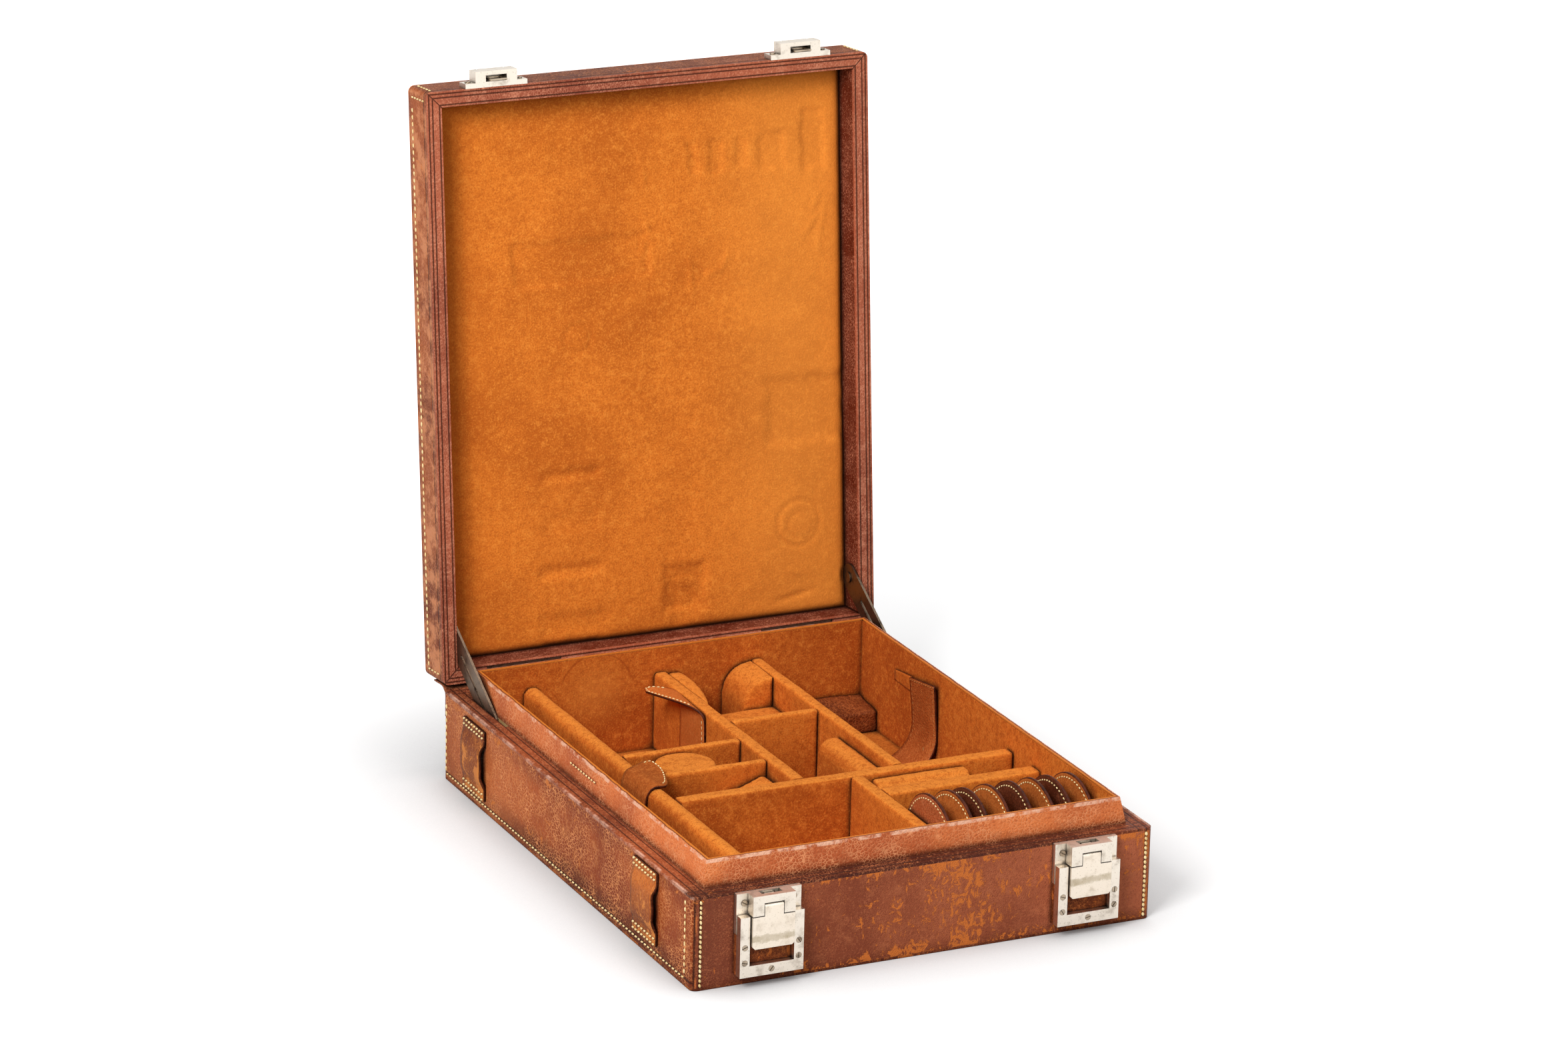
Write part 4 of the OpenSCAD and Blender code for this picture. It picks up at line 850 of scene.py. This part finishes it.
def panel_height(x, y):
    """Height of the panel's face on the closed lid: a higher place lies deeper in the lid."""
    crown = (1 - (x / PANEL_HALF_X) ** 2) * (1 - (y / PANEL_HALF_Y) ** 2)
    z = PANEL_Z - PANEL_CROWN * crown
    edge = min(PANEL_HALF_X - abs(x), PANEL_HALF_Y - abs(y))
    if edge < PANEL_BORDER:
        z += BORDER_DEPTH * (1 - edge / PANEL_BORDER) ** 2
    waver = noise.noise(Vector((x / 9, y / 9, 4))) * 2.4 - 0.4
    for x0, x1, y0, y1, depth, soft in PANEL_DENTS:
        soft *= DENT_EDGE_SCALE
        inside = min(x - x0, x1 - x, y - y0, y1 - y) + waver
        if inside > -soft:
            z += DENT_SCALE * depth * smooth((inside + soft) / (2 * soft))
    for cx, cy, r, w, depth in PANEL_RINGS:
        away = abs(math.hypot(x - cx, y - cy) - r)
        if away < w:
            z += RING_SCALE * depth * smooth(1 - away / w)
    for x0, y0, x1, y1, w, height in PANEL_CREASES:
        dx, dy = x1 - x0, y1 - y0
        t = min(1.0, max(0.0, ((x - x0) * dx + (y - y0) * dy) / (dx * dx + dy * dy)))
        away = math.hypot(x - x0 - t * dx, y - y0 - t * dy)
        if away < w:
            fade = math.sin(math.pi * (0.15 + 0.7 * t))
            z -= CREASE_SCALE * height * smooth(1 - away / w) * fade
    p = Vector((x, y, 0))
    z += noise.noise(p / 40) * 0.7 + noise.noise(p / 11) * 0.2
    off_rivet = abs(y - RIVET_Y)
    if abs(x) > RIVET_X and off_rivet < RIVET_ROOM:
        z = max(z, RIVET_Z + math.sqrt(RIVET_ROOM ** 2 - off_rivet ** 2))
    return min(z, PANEL_DEEPEST)


def panel_places(half, count):
    """Places across the panel, closer together at its ends."""
    first = half - PANEL_INNER
    inner = [-first + i * 2 * first / count for i in range(count + 1)]
    ends = [half - near_end for near_end in PANEL_ENDS]
    return [-place for place in ends] + inner + ends[::-1]


def make_panel():
    xs = panel_places(PANEL_HALF_X, PANEL_COLUMNS)
    ys = panel_places(PANEL_HALF_Y, PANEL_ROWS)
    bm = bmesh.new()
    grid = [[bm.verts.new(mm(*opened((x, y, panel_height(x, y))))) for x in xs] for y in ys]
    top = [[bm.verts.new(mm(*opened((x, y, PANEL_BACK)))) for x in (xs[0], xs[-1])] for y in ys]
    for a, b in zip(grid, grid[1:]):
        for i in range(len(xs) - 1):
            bm.faces.new((a[i], a[i + 1], b[i + 1], b[i]))
    for k, i in ((0, 0), (1, -1)):
        for a, b, c, d in zip(grid, grid[1:], top, top[1:]):
            bm.faces.new((a[i], b[i], d[k], c[k]))
    for row, ends in ((grid[0], top[0]), (grid[-1], top[-1])):
        bm.faces.new([*row, ends[1], ends[0]])
    bm.faces.new((top[0][0], top[0][1], top[-1][1], top[-1][0]))
    panel = dress(from_bmesh("suede_panel", bm), panel_suede, "lid", "suede", "lid_padded_panel")


make_panel()


# Thin leather pieces

UP = (0, 0, 1)
LEFT = (-1, 0, 0)
TAB_T = 1.4
STRAP_T = 1.5
KEEPER_T = 1.7
GUSSET_T = 0.9


def leather_sheet(name, rows, thickness, material, body, slot, edge, *stands_for):
    """A bent sheet from rows of points in millimetres, with a thickness and an edge material."""
    bm = bmesh.new()
    count = len(rows[0])
    normals = []
    for j, row in enumerate(rows):
        line = []
        for i, p in enumerate(row):
            a = rows[min(j + 1, len(rows) - 1)][i] - rows[max(j - 1, 0)][i]
            b = row[min(i + 1, count - 1)] - row[max(i - 1, 0)]
            line.append(a.cross(b).normalized())
        normals.append(line)
    sides = []
    for sign in (0.5, -0.5):
        sides.append([[bm.verts.new((p + n * thickness * sign) * MM) for p, n in zip(r, m)]
                      for r, m in zip(rows, normals)])
    for side in sides:
        for a, b in zip(side, side[1:]):
            for i in range(count - 1):
                bm.faces.new((a[i], a[i + 1], b[i + 1], b[i]))
    top, low = sides
    border = [(0, i) for i in range(count)] + [(j, count - 1) for j in range(1, len(rows))]
    border += [(len(rows) - 1, i) for i in range(count - 2, -1, -1)]
    border += [(j, 0) for j in range(len(rows) - 2, 0, -1)]
    for (j, i), (k, l) in zip(border, border[1:] + border[:1]):
        bm.faces.new((top[j][i], top[k][l], low[k][l], low[j][i]))
    obj = from_bmesh(name, bm)
    dress(obj, material, body, slot, *stands_for)
    obj.data.materials.append(edge)
    for face in obj.data.polygons[-len(border):]:
        face.material_index = 1
    return obj


def bent(points, count):
    """Points spread evenly along a smooth curve through some points."""
    points = [Vector(p) for p in points]
    out = []
    last = len(points) - 1
    for k in range(count):
        u = k * last / (count - 1)
        i = min(int(u), last - 1)
        t = u - i
        p0, p1 = points[max(i - 1, 0)], points[i]
        p2, p3 = points[i + 1], points[min(i + 2, last)]
        out.append(0.5 * (2 * p1 + (p2 - p0) * t + (2 * p0 - 5 * p1 + 4 * p2 - p3) * t * t
                          + (3 * p1 - p0 - 3 * p2 + p3) * t ** 3))
    return out


def outline_sheet(left, right, count, across):
    """Rows of points between two smooth edge lines."""
    a, b = bent(left, count), bent(right, count)
    return [[p.lerp(q, i / (across - 1)) for i in range(across)] for p, q in zip(a, b)]


def along_edge(rows, side, places, share):
    """Points beside a sheet's edge: a share of the way in from it, at some of its rows."""
    inner = 1 if side == 0 else -2
    return [rows[j][side].lerp(rows[j][inner], share) for j in places]


def long_tab():
    """Hangs on the middle divider's left face; its rounded tongue bends out over the bay."""
    back = [(-15.2, 126, 12.5), (-15.2, 126, 30), (-15.25, 126, 47), (-15.6, 126.5, 55.5),
            (-18, 129.5, 59.3), (-23.5, 134.5, 60.3), (-29.5, 138.6, 60.2), (-34.5, 138.6, 59.6)]
    front = [(-15.2, 89.5, 12.5), (-15.2, 89.5, 30), (-15.3, 89.6, 46), (-16.0, 90.5, 54.5),
             (-19.5, 96, 58.6), (-25.5, 108, 60.0), (-31.5, 121, 60.0), (-35.8, 134, 59.4)]
    rows = outline_sheet(back, front, 46, 12)
    leather_sheet("long_tab", rows, TAB_T, tab_leather, "base", "tan_leather", edge_paint,
                  "long_pull_tab")
    edge = along_edge(rows, -1, range(27, 45), 0.9)
    edge += [rows[44][i].lerp(rows[43][i], 0.2) for i in range(9, 1, -1)]
    edge += along_edge(rows, 0, range(44, 31, -1), 1.0)
    sewn = Stitches()
    sewn.row([p + Vector((0, 0, 0.75)) for p in edge], 2.9, UP, 0.85, 0.7)
    fixed = along_edge(rows, -1, range(2, 18), 0.9)
    sewn.row([p + Vector((-0.8, 0, 0)) for p in fixed], 3.4, LEFT, 0.6, 0.35)
    sewn.build("long_tab_stitches", "base", thread)


def short_tab():
    """Lies over the rolled divider; its tongue curls up towards the lens pad."""
    front = [(-104.9, -21, 46), (-104.8, -21.5, 53), (-102.4, -22, 58.2), (-98.2, -22, 59.9),
             (-93.5, -21.5, 59.4), (-89.5, -17.5, 58.6), (-86.0, -9, 58.7), (-84.2, 0, 60.0),
             (-84.6, 8, 61.4)]
    back = [(-104.9, 14, 46), (-104.8, 14, 53), (-102.4, 14.2, 58.2), (-98.2, 14.5, 59.9),
            (-95.2, 15.5, 60.1), (-92.6, 16.6, 60.7), (-90.0, 16.8, 61.6), (-87.4, 14.6, 62.2),
            (-85.6, 11.5, 62.0)]
    rows = outline_sheet(back, front, 46, 12)
    leather_sheet("short_tab", rows, TAB_T, pouch_suede, "base", "tan_leather", edge_paint,
                  "short_pull_tab")
    edge = along_edge(rows, -1, range(24, 44), 1.0)
    edge += [rows[43][i] for i in range(9, 1, -1)]
    edge += along_edge(rows, 0, range(43, 30, -1), 1.0)
    sewn = Stitches()
    sewn.row([p + Vector((-0.2, 0, 0.75)) for p in edge], 2.8, UP, 0.85, 0.7)
    sewn.build("short_tab_stitches", "base", thread)


# The strap's front and back edges, its face at the bend's start, and the bend's radius
STRAP_FRONT = 58.5
STRAP_BACK = 92.5
STRAP_X = 130.9
STRAP_R = 24.0


def strap_line(top, y):
    """The strap's section: it leans off the wall at its top and curves down onto the floor."""
    line = [(128.4, y, top), (129.0, y, top - 8), (130.2, y, 42),
            (STRAP_X, y, FLOOR + STRAP_R + 1)]
    for k in range(1, 9):
        a = math.radians(k * 90 / 8)
        line.append((STRAP_X - STRAP_R * (1 - math.cos(a)), y,
                     FLOOR + 0.9 + STRAP_R * (1 - math.sin(a))))
    return line


def wall_strap():
    """The strap, its faint stitches, one loose stitch, and the thin flap behind its top."""
    rows = outline_sheet(strap_line(61, STRAP_BACK), strap_line(66, STRAP_FRONT), 50, 10)
    leather_sheet("strap", rows, STRAP_T, strap_leather, "base", "tan_leather", edge_paint,
                  "wall_strap")
    sewn = Stitches()
    inward = (-1, 0, 0.1)
    sewn.row([p + Vector((-0.8, 0, 0)) for p in rows[1]], 3.2, inward, 0.7, 0.5)
    for side, last in ((-1, 30), (0, 24)):
        line = along_edge(rows, side, range(2, last), 0.7)
        sewn.row([p + Vector((-0.7, 0, 0)) for p in line], 3.2, inward, 0.5, 0.3)
    loose = rows[24][6] + Vector((-0.9, 0, 0))
    sewn.one(loose, Vector((0.1, 0.25, 1)).normalized(), Vector(LEFT), 3.4, 0.9, 0.8)
    sewn.build("strap_stitches", "base", dull_thread)
    flap = outline_sheet([(131.0, 119.5, 57.2), (131.3, 119.5, 50)],
                         [(129.4, 92.8, 61), (130.8, 92.8, 50)], 6, 8)
    leather_sheet("strap_flap", flap, 0.8, inner_suede, "base", "suede", tab_leather)


# The loops' half width, their height and their rows of points
KEEPER_HALF = 16.5
KEEPER_TALL = 45.5
KEEPER_ROWS = 44
# Place up the loop as a part of its height, and how far it stands out from the side
KEEPER_PROFILE = ((0, 0.9), (0.06, 0.95), (0.17, 1.0), (0.24, 2.3), (0.33, 3.5), (0.5, 3.7),
                  (0.68, 3.6), (0.77, 2.4), (0.84, 1.0), (0.95, 0.95), (1.0, 0.9))
# Places of the seams, as parts of the height
KEEPER_SEAMS = (0.045, 0.135, 0.86, 0.955)


def keeper(name, mid, low, ragged, *stands_for):
    """A loop on the left side, flat at its sewn ends; its middle stands out and is worn."""
    back, front = [], []
    for t, out in KEEPER_PROFILE:
        z = low + t * KEEPER_TALL
        worn = ragged * smooth((out - 1.4) / 2)
        back_wave = noise.noise(Vector((z * 0.19, mid, 0)))
        front_wave = noise.noise(Vector((z * 0.3, mid, 5)))
        x = -HALF_W - out
        back.append((x, mid + KEEPER_HALF - worn * (2.6 + 2.4 * back_wave), z))
        front.append((x, mid - KEEPER_HALF + worn * (0.9 + 2.2 * front_wave), z))
    rows = outline_sheet(back, front, KEEPER_ROWS, 12)
    leather_sheet(name, rows, KEEPER_T, keeper_leather, "base", "tan_leather", keeper_edge,
                  *stands_for)
    sewn = Stitches()
    for t in KEEPER_SEAMS:
        line = rows[round(t * (KEEPER_ROWS - 1))]
        sewn.row([p + Vector((-1.0, 0, 0)) for p in line], 4.2, LEFT, 1.5, 1.1, 0.82, 0.3)
    sewn.build(name + "_stitches", "base", thread)


GUSSET_WIDE = 297.0
GUSSET_COLUMNS = 150
# The gusset's section, y and z, and the part of it that bends, from the base to the lid
GUSSET_LINE = ((188.9, 40), (188.95, 47), (189.0, 52), (189.3, 55.2), (190.3, 56.4), (191.6, 57.0),
               (192.8, 57.9), (194.6, 58.6), (198, 58.6), (203, 58.2), (208, 57.7))
# Its crinkles' depth and their height on it
CRINKLE = 0.35
CRINKLE_Z = 56.5


def gusset():
    """Crinkled leather over the hinge at the back, from the base's back to the lid's back."""
    rows = []
    for p in bent([(0, y, z) for y, z in GUSSET_LINE], 26):
        row = []
        for i in range(GUSSET_COLUMNS):
            x = GUSSET_WIDE * (i / (GUSSET_COLUMNS - 1) - 0.5)
            near_hinge = smooth(1 - abs(p.z - CRINKLE_Z) / 5)
            crinkle = noise.noise(Vector((x / 2.2, p.y / 3, p.z / 3))) * CRINKLE * near_hinge
            row.append(Vector((x, p.y + crinkle * 0.6, p.z - crinkle * 0.8)))
        rows.append(row)
    piece = leather_sheet("gusset", rows, GUSSET_T, gusset_leather, None, "tan_leather",
                          gusset_leather)
    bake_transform(piece)


long_tab()
short_tab()
wall_strap()
keeper("rear_keeper", 135.8, 7.7, 1.0, "keeper_loops")
keeper("front_keeper", -123.5, 10.0, 0.8)
gusset()


# Stitch rows on the outer leather

STITCH_PITCH = 4.4
STITCH_W = 1.35
STITCH_H = 1.1


def side_stitches(side):
    """The rows of the base's left side, -1, or right side, 1; the left has one on the lip too."""
    out = (side, 0, 0)
    x = side * HALF_W
    sewn = Stitches()
    for line in ([(x, -177.7, 54), (x, -177.7, 7)], [(x, -177.5, 4.8), (x, 183.3, 4.2)],
                 [(x, 183.3, 5), (x, 183.3, 51)]):
        sewn.row(line, STITCH_PITCH, out, STITCH_W, STITCH_H)
    if side < 0:
        sewn.row([(-137.2, 20, 67), (-137.2, -19, 67)], 3.9, out, 1.3, 0.8)
    sewn.build("left_stitches" if side < 0 else "right_stitches", "base", thread)


def corner_stitches():
    """The rows up the corners of the base's front and back."""
    sewn = Stitches()
    for y, out, top in ((-HALF_D, (0, -1, 0), 56), (HALF_D, (0, 1, 0), 36)):
        for x, width in ((-145.0, 1.6), (145.4, 1.9)):
            sewn.row([(x, y, 1.6), (x, y, top)], 3.1, out, width, STITCH_H, 0.95, 0.3)
    sewn.build("front_and_back_stitches", "base", thread)


def lid_stitches():
    """The rows on the lid's sides and up the corners of its front."""
    sewn = Stitches()
    ahead = Matrix.Rotation(-math.radians(LID_ANGLE), 3, "X") @ Vector((0, -1, 0))
    lines = []
    for side in (-1, 1):
        x = side * HALF_W
        out = (side, 0, 0)
        lines += [(out, (x, -176, 81.6), (x, 181, 81.6)), (out, (x, -182, 83), (x, -182, 62)),
                  (out, (x, 182, 83), (x, 182, 64))]
    for x in (-145.5, 145.5):
        lines.append((ahead, (x, -HALF_D, 62), (x, -HALF_D, 84)))
    for out, first, last in lines:
        sewn.row([opened(first), opened(last)], STITCH_PITCH, out, STITCH_W, STITCH_H)
    sewn.build("lid_stitches", "lid", thread)


side_stitches(-1)
side_stitches(1)
corner_stitches()
lid_stitches()


# Stage and light

WORLD_LIGHT = 0.17
FLOOR_HALF = 15.0
FLOOR_BELOW = 0.0002
# The floor's painted glow for the camera beside the part and far off, and the distances between
# which it grows; far off it washes out the cast shadows
FLOOR_PAINTED_GLOW = (0.5, 1.0)
FLOOR_PAINTED_GLOW_FROM = (0.26, 0.8)
# The floor's colours in its painted shadow beside the part and in the open, as linear light
FLOOR_PAINTED_SHADOW = (0.22, 0.2, 0.2, 1)
FLOOR_OPEN = (0.6, 0.6, 0.6, 1)


def floor_looks():
    """Pale: a painted glow makes the camera see it lighter, most of all far off, where it washes
    out cast shadows; beside the part it keeps the part's shadow and has a painted shadow too.
    """
    looks = Looks("pale_floor")
    looks.set("Roughness", 0.9)
    looks.set("Emission Color", (1, 1, 1, 1))
    place = looks.add("ShaderNodeNewGeometry").outputs["Position"]
    away = looks.add("ShaderNodeVectorMath", {0: place}, operation="LENGTH")
    rise = looks.spread(away.outputs["Value"], *FLOOR_PAINTED_GLOW_FROM, *FLOOR_PAINTED_GLOW)
    # Painted shadow: the floor is darker and glows less where it is less open, beside the part.
    clear_of_painted_shadow = looks.openness(0.16, 8)
    tones = {0: clear_of_painted_shadow, 6: FLOOR_PAINTED_SHADOW, 7: FLOOR_OPEN}
    tone = looks.add("ShaderNodeMix", tones, data_type="RGBA")
    looks.set("Base Color", tone.outputs[2])
    painted_glow = looks.times(looks.seen_directly(0.0, 1.0), rise)
    looks.set("Emission Strength", looks.times(painted_glow, clear_of_painted_shadow))
    return looks.material


def make_stage():
    bm = bmesh.new()
    bmesh.ops.create_grid(bm, x_segments=1, y_segments=1, size=FLOOR_HALF)
    for v in bm.verts:
        v.co.z = -FLOOR_BELOW
    floor = from_bmesh("floor", bm)
    floor.data.materials.append(floor_looks())


def make_world():
    world = bpy.data.worlds.new("studio")
    bpy.context.scene.world = world
    world.use_nodes = True
    sky = Nodes(world.node_tree)
    background = world.node_tree.nodes["Background"]
    sky.put(background.inputs["Color"], (1, 1, 1, 1))
    sky.put(background.inputs["Strength"], sky.seen_directly(WORLD_LIGHT, 1.0))


def add_area(name, at, to, size, power):
    """A square lamp, with its side in metres and its power in watts."""
    data = bpy.data.lights.new(name, "AREA")
    data.shape = "SQUARE"
    data.size = size
    data.energy = power
    lamp = new_object(name, data)
    lamp.location = at
    aim = Vector(to) - Vector(at)
    lamp.rotation_euler = aim.to_track_quat("-Z", "Y").to_euler()


make_stage()
make_world()
add_area("key", (-1.6, -1.2, 1.7), (0, 0, 0.12), 0.9, 64)
add_area("front", (0.5, -2.2, 1.3), (0, 0, 0.15), 1.0, 11)
add_area("top", (0.3, 0.1, 2.3), (0, 0, 0), 0.8, 13)
